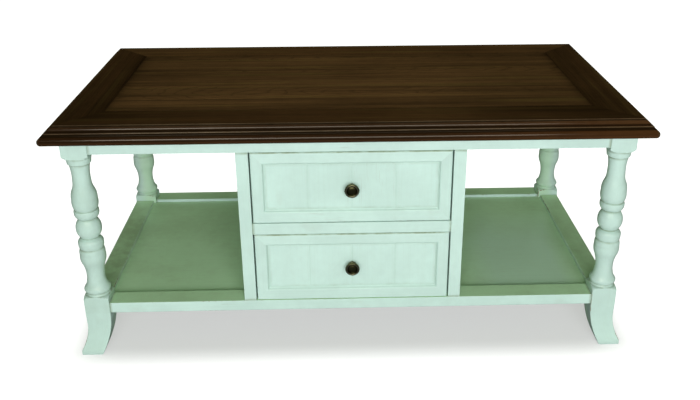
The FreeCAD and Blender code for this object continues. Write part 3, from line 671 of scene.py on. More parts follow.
def finished(context, bm, node, slot, flat=True):
    """Turns a finished mesh into a piece that stands for a node and moves with its body; its
    finish has the same name as its slot."""
    name = f"{slot}_{node}"
    mesh = bpy.data.meshes.new(name)
    bm.to_mesh(mesh)
    bm.free()
    mesh.polygons.foreach_set("use_smooth", [True] * len(mesh.polygons))
    mesh.set_sharp_from_angle(angle=SHARP_CORNER)
    mesh.materials.append(finish_named(context, slot))
    piece = bpy.data.objects.new(name, mesh)
    context.scene.collection.objects.link(piece)
    if flat:
        weighted = piece.modifiers.new("Flat faces", "WEIGHTED_NORMAL")
        weighted.keep_sharp = True
    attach(piece, BODY_OF[node])
    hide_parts(node)


# Shader building

class Signal:
    """What comes out of a shader node; arithmetic on it adds the nodes that work it out."""

    def __init__(self, tree, socket):
        self.tree = tree
        self.socket = socket

    def __add__(self, other):
        return compute("ADD", self, other)

    def __sub__(self, other):
        return compute("SUBTRACT", self, other)

    def __rsub__(self, other):
        return compute("SUBTRACT", other, self)

    def __mul__(self, other):
        return compute("MULTIPLY", self, other)

    def __truediv__(self, other):
        return compute("DIVIDE", self, other)


def add_node(tree, kind, **settings):
    item = tree.nodes.new(kind)
    for name, value in settings.items():
        setattr(item, name, value)
    return item


def feed(item, **values):
    """Links a node's sockets to signals or sets their values; underscores stand for spaces."""
    for name, value in values.items():
        fill(item.inputs[name.replace("_", " ")], value)


def fill(socket, value):
    """Links a socket to a signal, or sets its value; colours are opaque."""
    if isinstance(value, Signal):
        value.tree.links.new(value.socket, socket)
    elif socket.type == "RGBA":
        socket.default_value = (*value, 1.0)
    else:
        socket.default_value = value


def fed(item, output, *values):
    """A node's output as a signal, after its first sockets are filled in order."""
    for socket, value in zip(item.inputs, values):
        fill(socket, value)
    return Signal(item.id_data, item.outputs[output])


def compute(operation, first, second=0.0, clamp=False):
    """Works two values out with a math node; at least one of them is a signal."""
    tree = (first if isinstance(first, Signal) else second).tree
    return fed(add_node(tree, "ShaderNodeMath", operation=operation, use_clamp=clamp), 0, first, second)


def mixed(factor, first, second):
    """Mixes two colours."""
    item = add_node(factor.tree, "ShaderNodeMix", data_type="RGBA")
    for place, value in ((0, factor), (6, first), (7, second)):
        fill(item.inputs[place], value)
    return Signal(factor.tree, item.outputs[2])


def darkened(colour, level):
    """Multiplies a colour by a level."""
    item = add_node(level.tree, "ShaderNodeMix", data_type="RGBA", blend_type="MULTIPLY")
    for place, value in ((0, 1.0), (6, colour), (7, joined(level, level, level))):
        fill(item.inputs[place], value)
    return Signal(level.tree, item.outputs[2])


def ranged(value, low, high, start=0.0, end=1.0, kind="SMOOTHSTEP"):
    """Takes a value from the range between low and high to the one between start and end."""
    item = add_node(value.tree, "ShaderNodeMapRange", interpolation_type=kind, clamp=True)
    return fed(item, 0, value, low, high, start, end)


def stretched(vector, scales):
    """Multiplies a place by a number along each axis."""
    return fed(add_node(vector.tree, "ShaderNodeVectorMath", operation="MULTIPLY"), 0, vector, scales)


def noise(vector, scale, detail, roughness):
    item = add_node(vector.tree, "ShaderNodeTexNoise")
    feed(item, Vector=vector, Scale=scale, Detail=detail, Roughness=roughness)
    return fed(item, 0)


def pattern(grain, waves, detail, roughness):
    """Noise drawn out along the grain."""
    return noise(stretched(grain, waves), 1.0, detail, roughness)


def joined(first, second, third):
    """Makes a vector of three numbers; the first is a signal."""
    return fed(add_node(first.tree, "ShaderNodeCombineXYZ"), 0, first, second, third)


def parted(vector):
    """The three numbers of a vector or colour."""
    item = add_node(vector.tree, "ShaderNodeSeparateXYZ")
    fill(item.inputs[0], vector)
    return [fed(item, place) for place in range(3)]


def attribute(tree, name, output="Fac"):
    return fed(add_node(tree, "ShaderNodeAttribute", attribute_name=name), output)


def object_place(tree):
    return fed(add_node(tree, "ShaderNodeTexCoord"), "Object")


def ray(tree, kind):
    """Whether a ray is of a kind, such as one from the camera."""
    return fed(add_node(tree, "ShaderNodeLightPath"), f"Is {kind} Ray")


def bump(height, strength, distance):
    item = add_node(height.tree, "ShaderNodeBump")
    feed(item, Strength=strength, Distance=distance, Height=height)
    return fed(item, 0)


def effect(name, tree, inputs, build):
    """Places a shader node group, which is built on its first use; returns its outputs by name."""
    group = bpy.data.node_groups.get(name)
    if group is None:
        group = bpy.data.node_groups.new(name, "ShaderNodeTree")
        for label in inputs:
            kind = "NodeSocketVector" if label == "Place" else "NodeSocketFloat"
            group.interface.new_socket(name=label, in_out="INPUT", socket_type=kind)
        entry = add_node(group, "NodeGroupInput")
        results = build({label: fed(entry, label) for label in inputs})
        for label in results:
            group.interface.new_socket(name=label, in_out="OUTPUT", socket_type="NodeSocketFloat")
        leave = add_node(group, "NodeGroupOutput")
        for label, value in results.items():
            fill(leave.inputs[label], value)
    item = add_node(tree, "ShaderNodeGroup", node_tree=group)
    for label, value in inputs.items():
        fill(item.inputs[label], value)
    return {socket.name: Signal(tree, socket) for socket in item.outputs}


def plank_figure(grain, plank_width, ring_spacing, taper, wander):
    """Growth rings, pores and tonal bands of sawn planks; X runs along the grain, in metres."""
    def build(inputs):
        along, across, _ = parted(inputs["Place"])
        width = inputs["Plank Width"]
        index = compute("FLOOR", across / width)
        chance = add_node(index.tree, "ShaderNodeTexWhiteNoise", noise_dimensions="1D")
        feed(chance, W=index)
        aside, ahead, plank = parted(fed(chance, "Color"))
        middle = (index + 0.5) * width
        beside = across - middle - (aside - 0.5) * (width * 0.5)
        run = along + ahead * 7.0
        waver = noise(joined(run * 2.2, across * 7.0, index), 1.0, 3.0, 0.55)
        depth = compute("PINGPONG", run, 0.9) * inputs["Taper"] + waver * inputs["Wander"]
        distance = compute("SQRT", beside * beside + depth * depth)
        ripple = pattern(inputs["Place"], RIPPLE_WAVES, 3.0, 0.6)
        ring = compute("FRACT", distance / inputs["Ring Spacing"] + ripple * 0.55)
        line = (1.0 - ranged(ring, 0.0, 0.34)) * ranged(ring, 0.0, 0.06)
        pore_noise = pattern(inputs["Place"], PORE_WAVES, 2.0, 0.6)
        pores = ranged(pore_noise, 0.52, 0.68) * (line * 0.75 + 0.25)
        bands = noise(joined(run * 1.1, across * 34.0, index), 1.0, 4.0, 0.62)
        fibres = pattern(inputs["Place"], FIBRE_WAVES, 3.0, 0.6)
        return {"Rings": line, "Pores": pores, "Bands": bands, "Fibres": fibres, "Plank": plank}
    return effect("plank figure", grain.tree, {
        "Place": grain, "Plank Width": plank_width, "Ring Spacing": ring_spacing,
        "Taper": taper, "Wander": wander}, build)


def brush_strokes(grain):
    """Fine ridges that a brush leaves along a board."""
    def build(inputs):
        fine = pattern(inputs["Place"], FINE_STROKE_WAVES, 3.0, 0.65)
        broad = pattern(inputs["Place"], BROAD_STROKE_WAVES, 2.0, 0.5)
        return {"Strokes": fine * 0.6 + broad * 0.4}
    return effect("brush strokes", grain.tree, {"Place": grain}, build)["Strokes"]


def edge_wear(grain, edge, amount):
    """Breaks an edge mark up into worn spots."""
    def build(inputs):
        place = stretched(inputs["Place"], (0.45, 1.0, 1.0))
        patches = noise(place, 26.0, 3.0, 0.6)
        grit = noise(place, 260.0, 3.0, 0.7)
        chance = patches * 0.75 + grit * 0.35
        reach = inputs["Edge"] * inputs["Amount"] - (1.05 - chance)
        return {"Mask": ranged(reach, 0.0, 0.10)}
    return effect("edge wear", grain.tree, {"Place": grain, "Edge": edge, "Amount": amount}, build)["Mask"]


def pooled_glaze(grain, hollow, amount):
    """Lets a hollow's mark vary as wiped glaze does."""
    def build(inputs):
        uneven = noise(inputs["Place"], 34.0, 3.0, 0.6)
        mask = inputs["Hollow"] * ranged(uneven, 0.30, 0.68, 0.35, 1.0)
        return {"Mask": compute("MULTIPLY", mask, inputs["Amount"], clamp=True)}
    return effect("pooled glaze", grain.tree, {"Place": grain, "Hollow": hollow, "Amount": amount},
                  build)["Mask"]


def handling_haze(place, scale):
    """Slow changes of tone and sheen over a surface."""
    def build(inputs):
        slow = noise(inputs["Place"], inputs["Scale"], 3.0, 0.55)
        fine = noise(inputs["Place"], inputs["Scale"] * 9.0, 2.0, 0.6)
        return {"Haze": slow * 0.75 + fine * 0.25}
    return effect("handling haze", place.tree, {"Place": place, "Scale": scale}, build)["Haze"]


def new_material(name, kind="ShaderNodeBsdfPrincipled"):
    """An empty material with one shader at its output; returns it, its tree and the shader."""
    material = bpy.data.materials.new(name)
    material.use_nodes = True
    tree = material.node_tree
    tree.nodes.clear()
    shader = add_node(tree, kind)
    output = add_node(tree, "ShaderNodeOutputMaterial")
    tree.links.new(shader.outputs[0], output.inputs["Surface"])
    return material, tree, shader


def toned(colour, level):
    """A colour made darker or lighter all over."""
    return tuple(part * level for part in colour)


def mint_paint(finishes):
    """Brushed paint under a wiped glaze, worn through along its edges, with shade painted in where the shade
    mark is, as greener paint under more glaze.
    """
    material, tree, shader = new_material("mint paint")
    grain = attribute(tree, "grain", "Vector")
    shade = attribute(tree, "shade")
    haze = handling_haze(grain, 7.0)
    strokes = brush_strokes(grain)
    worn = edge_wear(grain, attribute(tree, "worn"), 0.50)
    pooled = pooled_glaze(grain, attribute(tree, "glaze"), 0.75)

    # Painted shade: the paint turns greener where the shade mark is
    base = mixed(shade, finishes.paint, finishes.shelf_paint)
    base = darkened(base, ranged(haze, *TONE_HAZE, 0.955, 1.045))
    base = mixed(ranged(strokes, 0.42, 0.66, 0.0, 0.038), base, finishes.glaze)
    stain = pattern(grain, STAIN_WAVES, 4.0, 0.6)
    base = mixed(ranged(stain, 0.58, 0.78, 0.0, 0.09), base, finishes.worn_wood)
    scratches = pattern(grain, SCRATCH_WAVES, 2.0, 0.5)
    patches = pattern(grain, SCRATCHED_PATCH_WAVES, 2.0, 0.5)
    rubbed = ranged(scratches, 0.60, 0.72) * ranged(patches, 0.58, 0.70)
    base = mixed(rubbed * 0.20, base, finishes.worn_wood)
    # Painted shade: more glaze is mixed in where the shade mark is, which darkens it
    base = mixed(ranged(haze, *SHEEN_HAZE, 0.0, 0.30) * shade, base, finishes.glaze)
    base = mixed(pooled, base, finishes.glaze)
    base = mixed(worn, base, finishes.worn_wood)
    feed(shader, Base_Color=base, Specular_IOR_Level=0.50,
         Roughness=ranged(haze, *SHEEN_HAZE, 0.33, 0.43, "LINEAR") + worn * 0.22,
         Normal=bump(strokes * 0.35 - worn, 0.35, 0.0003))
    return material


def walnut_material(name, dark, light, planks, finishes):
    """Stained and lacquered walnut, darker at its joints and rubbed on its crests; the rubbed colour is
    partly a painted highlight, and the shade mark paints shade and light into it as well as stain.
    """
    material, tree, shader = new_material(name)
    grain = attribute(tree, "grain", "Vector")
    wood = plank_figure(grain, *planks)
    haze = handling_haze(object_place(tree), 5.0)
    worn = attribute(tree, "worn")
    hollow = attribute(tree, "glaze")
    shade = attribute(tree, "shade")
    polish = attribute(tree, "polish")

    tone = wood["Bands"] * 1.25 + wood["Fibres"] * 0.55 + (wood["Plank"] - 0.5) * 0.08
    base = mixed(ranged(tone, 0.48, 1.26), dark, light)
    streaks = pattern(grain, STREAK_WAVES, 2.0, 0.5)
    base = mixed(ranged(streaks, 0.50, 0.68, 0.0, 0.50), base, finishes.golden)
    base = mixed(wood["Rings"] * 0.42, base, dark)
    deep = toned(dark, 0.45)
    base = mixed(wood["Pores"] * 0.60, base, deep)
    base = mixed(polish * 0.85, base, finishes.edge_stain)
    # The shade mark darkens the walnut: its stain at the joints, and painted shade and light elsewhere on the
    # top
    base = darkened(base, ranged(haze, *TONE_HAZE, 0.86, 1.12, "LINEAR") * (1.0 - shade * 0.55))
    # Partly painted highlight: the rubbed colour on the moulding's crests also stands in for highlights
    rub = worn * polish * ranged(haze, 0.30, 0.70, 0.35, 0.95)
    base = mixed(rub, base, finishes.rubbed)
    base = mixed(hollow * 0.9, base, deep)
    rough = ranged(haze, *SHEEN_HAZE, 0.42, 0.52, "LINEAR") + wood["Pores"] * 0.15 - polish * 0.12
    lacquer = ranged(polish, 0.0, 1.0, 0.08, 0.62, "LINEAR") * (1.0 - hollow * 0.85)
    height = wood["Fibres"] * 0.25 - (wood["Pores"] + wood["Rings"] * 0.3)
    feed(shader, Base_Color=base, Roughness=rough, Specular_IOR_Level=0.0, Coat_Weight=lacquer,
         Coat_Roughness=0.145, Normal=bump(height, 0.30, 0.0002))
    return material


def walnut_field(finishes):
    return walnut_material("walnut field", finishes.field_dark, finishes.field_light, FIELD_PLANKS, finishes)


def walnut_border(finishes):
    return walnut_material("walnut border", finishes.border_dark, finishes.border_light, BORDER_PLANKS,
                           finishes)


def bare_wood_material(name, place, finishes):
    """Sanded, unstained wood; place makes the coordinates, X along the grain."""
    material, tree, shader = new_material(name)
    grain = place(tree)
    wood = plank_figure(grain, *DRAWER_PLANKS)
    haze = handling_haze(grain, 8.0)
    tone = wood["Bands"] * 0.9 + wood["Fibres"] * 0.4
    base = mixed(ranged(tone, 0.42, 0.95), finishes.drawer_dark, finishes.drawer_light)
    base = mixed(wood["Rings"] * 0.42, base, finishes.drawer_dark)
    base = mixed(wood["Pores"] * 0.35, base, toned(finishes.drawer_dark, 0.55))
    feed(shader, Base_Color=base, Roughness=ranged(haze, *SHEEN_HAZE, 0.52, 0.66, "LINEAR"),
         Specular_IOR_Level=0.35, Normal=bump(wood["Fibres"] - wood["Pores"], 0.25, 0.0002))
    return material


def drawer_wood(finishes):
    return bare_wood_material("drawer wood", lambda tree: attribute(tree, "grain", "Vector"), finishes)


def runner_wood(finishes):
    """Bare wood of the runners, which all lie along Y."""
    def place(tree):
        first, second, third = parted(object_place(tree))
        return joined(second, first, third)
    return bare_wood_material("runner wood", place, finishes)


def aged_bronze(finishes):
    """Dark bronze, bright where hands rub it."""
    material, tree, shader = new_material("aged bronze")
    haze = handling_haze(object_place(tree), 90.0)
    rub = attribute(tree, "worn") * ranged(haze, 0.30, 0.65, 0.45, 1.0)
    base = mixed(ranged(haze, *SHEEN_HAZE, 0.0, 0.45), finishes.bronze, toned(finishes.bronze, 2.1))
    base = mixed(rub, base, finishes.bright_bronze)
    base = mixed(attribute(tree, "glaze") * 0.8, base, toned(finishes.bronze, 0.35))
    feed(shader, Base_Color=base, Metallic=1.0, Normal=bump(haze, 0.20, 0.0002),
         Roughness=ranged(haze, *SHEEN_HAZE, 0.34, 0.44, "LINEAR") - rub * 0.20)
    return material


def zinc_screw(finishes):
    """Bright plating with dull streaks."""
    material, tree, shader = new_material("zinc screw")
    haze = handling_haze(object_place(tree), 160.0)
    feed(shader, Base_Color=mixed(ranged(haze, *SHEEN_HAZE), finishes.zinc, toned(finishes.zinc, 0.6)),
         Metallic=1.0, Roughness=ranged(haze, *SHEEN_HAZE, 0.28, 0.46, "LINEAR"),
         Normal=bump(haze, 0.15, 0.0001))
    return material


MAKERS = {maker.__name__: maker for maker in (
    mint_paint, walnut_field, walnut_border, drawer_wood, runner_wood, aged_bronze, zinc_screw)}


def finish_named(context, name):
    """A finish by its maker's name, made on its first use."""
    label = f"finish {name}"
    for material in bpy.data.materials:
        if material.get("finish") == label:
            return material
    material = MAKERS[name](context.scene.coffee_table.finishes)
    material["finish"] = label
    return material


def painted_board(context, node, along, seams=(), easing=None, shaded=False, below=0.0, wash=0.0,
                  wear=1.0):
    """A painted board in a node's place. A shaded board gets painted shade on its upper face, as greener
    paint under more glaze, and on its other faces by the share below. Wash is the least glaze and painted
    shade on a board along Y, and it fades out at the back end as painted light from behind. Wear is the share
    of the wear that is left."""
    edges = context.scene.coffee_table.edges
    low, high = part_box(node)
    bm = board(low, high, edges.easing if easing is None else easing, edges.worn_reach)
    if wash:
        slice_at(bm, 1, high.y - BACK_LIGHT_FADE)
    mark_creases(bm)
    mark_seams(bm, seams, edges.worn_reach)
    weaken(bm, "worn", wear)
    if shaded:
        mark_shade(bm, high.z, below)
    # Painted shade: the wash darkens the side rail's top, and fades out towards the back end as painted light
    # from behind
    if wash:
        glaze = layer(bm, "glaze")
        for vert in bm.verts:
            vert[glaze] = max(vert[glaze], ramp(vert.co.y, high.y, high.y - BACK_LIGHT_FADE, wash))
    mark_grain(bm, along, node)
    finished(context, bm, node, "mint_paint")


# Operators, one for each piece or group of like pieces

class TablePiece:
    """What the piece operators share."""
    bl_options = {"REGISTER", "UNDO"}


class COFFEE_TABLE_OT_top_field(TablePiece, bpy.types.Operator):
    """Make the grained centre field of the top"""
    bl_idname = "coffee_table.top_field"
    bl_label = "Top Field"

    def execute(self, context):
        settings = context.scene.coffee_table
        reach = settings.edges.shade_reach
        bottom, top = (corner.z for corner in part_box("top_field"))
        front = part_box("top_border_front")[1].y
        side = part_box("top_border_left")[1].x
        low = Vector((side, front, bottom))
        high = Vector((-side, -front, top))
        nearest, *shares = SHADE_LOOP_SHARES
        bm = board(low, high, settings.edges.fine_easing * 0.5, reach * nearest)
        for axis in (0, 1):
            slice_inside(bm, axis, low[axis], high[axis], *(reach * part for part in shares))
        for step in range(-FIELD_SIDE_LOOPS, FIELD_SIDE_LOOPS + 1):
            slice_at(bm, 0, FIELD_LOOP_GAP * step)
        for step in range(1, FIELD_FRONT_LOOPS + 1):
            slice_at(bm, 1, low.y + FIELD_LOOP_GAP * step)
        mark_creases(bm)
        shade = layer(bm, "shade")
        layer(bm, "polish")
        for vert in bm.verts:
            inside = min(vert.co.x - low.x, high.x - vert.co.x, vert.co.y - low.y, high.y - vert.co.y)
            joint = math.exp(-max(inside, 0.0) / (reach * FIELD_JOINT_FADE_SHARE))
            vert[shade] = FIELD_JOINT_STAIN * joint
            # Painted shade towards the field's ends, round a painted pool of light in its middle
            vert[shade] += ramp(abs(vert.co.x + PAINTED_LIGHT_MIDDLE), *FIELD_ENDS_PAINTED_SHADE)
            vert[shade] -= ramp(vert.co.y - low.y, *FIELD_FRONT_LIGHTER)
        mark_grain(bm, "X", "top_field")
        finished(context, bm, "top_field", "walnut_field")
        return {"FINISHED"}


def moulding_heights(moulding, thickness):
    """Heights of the bead's top and foot and of the ledge's top and foot over the underside."""
    bead_top = thickness - moulding.fillet_drop
    bead_foot = bead_top - moulding.bead_drop
    ledge_top = bead_foot - moulding.neck_drop
    return bead_top, bead_foot, ledge_top, ledge_top - moulding.ledge_drop


def border_outline(moulding, width, thickness, shade_reach):
    """From the nosing inwards and from the underside up: the board with its moulded edge."""
    nose = moulding.nose_radius
    ledge_edge = moulding.cove_reach + nose
    arris = ledge_edge + moulding.ledge_reach + moulding.bead_reach
    bead_top, bead_foot, ledge_top, ledge_foot = moulding_heights(moulding, thickness)
    flat = [(width - shade_reach * part, thickness) for part in (*SHADE_LOOP_SHARES, BORDER_LAST_LOOP)]
    flat.append((arris + moulding.easing * 4, thickness))
    return outline([
        (nose, 0.0, QUARTER_BOW_SHARE),
        (width, 0.0),
        (width, thickness),
        *flat,
        (arris, thickness),
        (arris, bead_top),
        (arris - moulding.bead_reach, bead_foot, QUARTER_BOW_SHARE),
        (arris - moulding.bead_reach, ledge_top),
        (ledge_edge + moulding.ledge_drop, ledge_top),
        (ledge_edge, ledge_foot, QUARTER_BOW_SHARE),
        (nose, nose * 2, -COVE_BOW_SHARE),
        (0.0, nose, QUARTER_BOW_SHARE),
    ], MOULDING_STEP)


class COFFEE_TABLE_OT_top_borders(TablePiece, bpy.types.Operator):
    """Make the four mitred, moulded borders of the top"""
    bl_idname = "coffee_table.top_borders"
    bl_label = "Top Borders"

    def execute(self, context):
        settings = context.scene.coffee_table
        moulding = settings.moulding
        radius = moulding.corner_radius
        edge = (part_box("top_border_right")[1].x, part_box("top_border_back")[1].y)
        for side, (angle, even_shade, joint_shade) in BORDERS.items():
            node = f"top_border_{side}"
            low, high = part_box(node)
            lengthwise = 0 if side in ENDS else 1
            whole = edge[lengthwise] * 2
            width = high[1 - lengthwise] - low[1 - lengthwise]
            points = border_outline(moulding, width, high.z - low.z, settings.edges.shade_reach)
            bm = moulded_length(points, whole, moulding.easing, [radius * part for part in CORNER_SHARES])
            round_corners(bm, whole, radius)
            for place in BORDER_LOOP_SHARES:
                slice_at(bm, 0, place * whole)
                slice_at(bm, 0, -place * whole)
            mark_creases(bm, MOULDING_BENDS)
            shade = layer(bm, "shade")
            for vert in bm.verts:
                joint = max(width - vert.co.y, 0.0) / settings.edges.shade_reach
                vert[shade] = even_shade + ramp(joint, *BORDER_JOINT_FADE, joint_shade)
            self.mark_moulding(bm, moulding, high.z - low.z, side == "front")
            mark_grain(bm, "X", node)
            outer = {"front": low.y, "back": high.y, "left": low.x, "right": high.x}[side]
            place = Vector((0.0, outer, low.z)) if side in ENDS else Vector((outer, 0.0, low.z))
            put(bm, place, (math.radians(angle), "Z"))
            finished(context, bm, node, "walnut_border")
        return {"FINISHED"}

    def mark_moulding(self, bm, moulding, thickness, in_front):
        """Marks the moulding as polished, and the hollows of it as glazed."""
        polish = layer(bm, "polish")
        shade = layer(bm, "shade")
        glaze = layer(bm, "glaze")
        nose = moulding.nose_radius
        bead_inset = nose + moulding.cove_reach + moulding.ledge_reach
        flat_from = bead_inset + moulding.bead_reach + moulding.easing * 2
        _, bead_foot, ledge_top, ledge_foot = moulding_heights(moulding, thickness)
        for vert in bm.verts:
            inset, up = vert.co.y, vert.co.z
            if inset >= flat_from:
                if in_front:
                    vert[shade] += ramp(abs(vert.co.x), *BORDER_ENDS_DARKER)
                continue
            vert[polish] = 1.0
            # Painted light: the nose's underside is made lighter, as if lit from the floor, and the moulding
            # above it darker
            vert[shade] = NOSE_UNDERSIDE_PAINTED_LIGHT if up < nose else MOULDING_DARKENING
            # Painted highlight: lighter towards the right end of the front moulding
            if in_front:
                vert[shade] -= ramp(vert.co.x, *MOULDING_RIGHT_HIGHLIGHT)
            if nose * 2 - moulding.easing < up <= ledge_foot + TINY and inset > nose * 0.9:
                vert[glaze] = COVE_GLAZE
            if ledge_top - TINY < up < bead_foot + TINY and inset > bead_inset - TINY:
                vert[glaze] = NECK_GLAZE


def turning_points(shape, half, under_top, under_apron):
    """Points of the whole leg's profile, from the middle of its top to the middle of its foot."""
    corner = half * BLANK_CORNER_SHARE
    turned = under_apron - shape.shoulder_height
    points = [(0.0, under_top), (corner, under_top)]
    points += arc(points[-1], (corner, under_apron), 0.0, UPPER_BLOCK_STEP)
    for height_share, radius_share, bow_share in TURNING_SHARES:
        place = (half * radius_share, shape.shoulder_height + turned * height_share)
        points += arc(points[-1], place, -bow_share, TURNING_STEP)
    points += arc(points[-1], (corner, shape.shoulder_height), -LOWER_SHOULDER_BOW_SHARE, TURNING_STEP)
    points += arc(points[-1], (corner, SOLE_HEIGHT), 0.0, LOWER_BLOCK_STEP)
    return points + [(corner, 0.0), (0.0, 0.0)]


def square_radius(angle, half, rounding):
    """How far a square with rounded corners reaches in a direction."""
    folded = abs((angle + math.pi / 4) % (math.pi / 2) - math.pi / 4)
    flat = half - rounding
    if half * math.tan(folded) <= flat:
        return half / math.cos(folded)
    along = flat * (math.cos(folded) + math.sin(folded))
    return along + math.sqrt(max(0.0, along * along - 2 * flat * flat + rounding * rounding))


def height_line(points, height):
    """Where a line of (place, height) points lies at a height."""
    for before, after in zip(points, points[1:]):
        if before[1] <= height <= after[1]:
            part = (height - before[1]) / max(after[1] - before[1], TINY)
            return before[0] + (after[0] - before[0]) * part
    return points[-1][0]


def foot_lines(shape, half, under_shelf):
    """The foot's outer and inner line as (place, height) points."""
    toe = half + shape.splay
    outer = [(-toe, 0.0), (-toe, shape.toe_height)]
    outer += arc(outer[-1], (shape.ankle_hollow - half, shape.ankle_height), FOOT_OUTER_BOW_SHARE, FOOT_STEP)
    inner = [(shape.foot_width - toe, 0.0)]
    inner += arc(inner[0], (half, shape.calf_height), FOOT_INNER_BOW_SHARE, FOOT_STEP)
    return outer + [(-half, under_shelf)], inner + [(half, under_shelf)]


class COFFEE_TABLE_OT_legs(TablePiece, bpy.types.Operator):
    """Turn the four legs and saw their feet"""
    bl_idname = "coffee_table.legs"
    bl_label = "Legs"

    def execute(self, context):
        shape = context.scene.coffee_table.leg
        under_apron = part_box("apron_front")[0].z
        under_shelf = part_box("shelf_rail_front")[0].z
        for corner, turn in LEG_TURNS.items():
            node = f"leg_{corner}"
            low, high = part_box(node)
            half = (high.x - low.x - shape.splay) / 2
            bm = spun(turning_points(shape, half, high.z, under_apron), shape.steps)
            for vert in bm.verts:
                radius = vert.co.xy.length
                if radius < TINY:
                    continue
                angle = math.atan2(vert.co.y, vert.co.x)
                reach = min(radius, square_radius(angle, half, shape.corner_radius))
                vert.co.x *= reach / radius
                vert.co.y *= reach / radius
            mark_creases(bm)
            mark_grain(bm, "Z", node)
            self.mark_leg(bm, shape.inner_glaze, LEG_GLAZE_AND_SHADE[corner], under_shelf)
            self.saw_foot(bm, half, under_shelf, *foot_lines(shape, half, under_shelf))
            axis_x = low.x + half if "right" in corner else high.x - half
            axis_y = low.y + half if "back" in corner else high.y - half
            put(bm, (axis_x, axis_y, 0.0), (math.radians(turn), "Z"))
            finished(context, bm, node, "mint_paint")
        return {"FINISHED"}

    def mark_leg(self, bm, inner_glaze, glaze_and_shade_shares, under_shelf):
        """Shades the side that faces the table's middle, and weighs the glaze."""
        shade = layer(bm, "shade")
        glaze = layer(bm, "glaze")
        in_creases, wash, inside = glaze_and_shade_shares
        for vert in bm.verts:
            inward = (vert.co.x + vert.co.y) / max(vert.co.xy.length, TINY) * math.sqrt(0.5)
            # Painted shade on the side that faces the table's middle, greener and darker, with more of it on
            # the back legs
            vert[shade] = ramp(inward, *INNER_SIDE, inner_glaze * inside)
            least = wash if vert.co.z > under_shelf else wash * FOOT_GLAZE_SHARE
            vert[glaze] = max(vert[glaze] * in_creases, least)

    def saw_foot(self, bm, half, under_shelf, outer, inner):
        """Draws the block under the shelf to the foot's two lines, on both sides alike."""
        for vert in bm.verts:
            if vert.co.z >= under_shelf:
                continue
            start = height_line(outer, vert.co.z)
            end = height_line(inner, vert.co.z)
            drawn_in = SOLE_SHARE if vert.co.z < TINY else 1.0
            for axis in (0, 1):
                vert.co[axis] = (start + end) / 2 + vert.co[axis] / half * (end - start) / 2 * drawn_in


class COFFEE_TABLE_OT_aprons(TablePiece, bpy.types.Operator):
    """Make the four aprons under the top"""
    bl_idname = "coffee_table.aprons"
    bl_label = "Aprons"

    def execute(self, context):
        easing = context.scene.coffee_table.edges.fine_easing
        for end in ENDS:
            painted_board(context, f"apron_{end}", "X", ("left", "right", "above"), easing=easing,
                          wear=APRON_WEAR)
        for side in SIDES:
            painted_board(context, f"apron_{side}", "Y", ("front", "back", "above"), easing=easing)
        return {"FINISHED"}


class COFFEE_TABLE_OT_shelf(TablePiece, bpy.types.Operator):
    """Make the shelf's four rails and its sunk panel"""
    bl_idname = "coffee_table.shelf"
    bl_label = "Shelf"

    def execute(self, context):
        edges = context.scene.coffee_table.edges
        for end in ENDS:
            painted_board(context, f"shelf_rail_{end}", "X", ("left", "right"), shaded=True,
                          wear=SHELF_RAIL_WEAR)
        for side in SIDES:
            painted_board(context, f"shelf_rail_{side}", "Y", ("front", "back"), easing=edges.easing * 2,
                          shaded=True, below=RAIL_SIDE_SHADE, wash=RAIL_SHADE_WASH[side])

        low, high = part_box("shelf_panel")
        notch_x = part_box("shelf_rail_front")[1].x
        notch_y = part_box("shelf_rail_left")[1].y
        inner_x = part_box("shelf_rail_right")[0].x
        inner_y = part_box("shelf_rail_back")[0].y
        quarter = [(notch_x, low.y), (notch_x, -notch_y), (high.x, -notch_y)]
        right = quarter + [(x, -y) for x, y in reversed(quarter)]
        points = right + [(-x, y) for x, y in reversed(right)]
        bm = slab(points, 2, low.z, high.z, edges.worn_reach)
        reach = edges.worn_reach * PANEL_REACH_SHARE
        for inset in (0.0, reach * PANEL_LOOP_SHARE, reach):
            for sign in (-1.0, 1.0):
                slice_at(bm, 0, (inner_x - inset) * sign)
                slice_at(bm, 1, (inner_y - inset) * sign)
        for x in (*SHEEN_PATCH_START, *SHEEN_PATCH_END):
            slice_at(bm, 0, x)
        for y in SHEEN_PATCH_BACK:
            slice_at(bm, 1, y)
        mark_creases(bm)
        weaken(bm, "worn", 0.0)
        mark_shade(bm, high.z)
        glaze = layer(bm, "glaze")
        shade = layer(bm, "shade")
        for vert in bm.verts:
            # Glaze and painted shade on the sunk panel beside the front and back rails
            inside = inner_y - abs(vert.co.y)
            vert[glaze] = max(0.0, 1.0 - max(inside, 0.0) / reach) ** PANEL_GLAZE_POWER
            # Painted reflection: a lighter sheen patch in the right bay, where the painted shade is lessened
            sheen_patch = smooth_step(*SHEEN_PATCH_START, vert.co.x) * (1.0 - smooth_step(*SHEEN_PATCH_END, vert.co.x))
            vert[shade] *= 1.0 - SHEEN_PATCH_SHARE * sheen_patch * (1.0 - smooth_step(*SHEEN_PATCH_BACK, vert.co.y))
        mark_grain(bm, "X", "shelf_panel")
        finished(context, bm, "shelf_panel", "mint_paint")
        return {"FINISHED"}


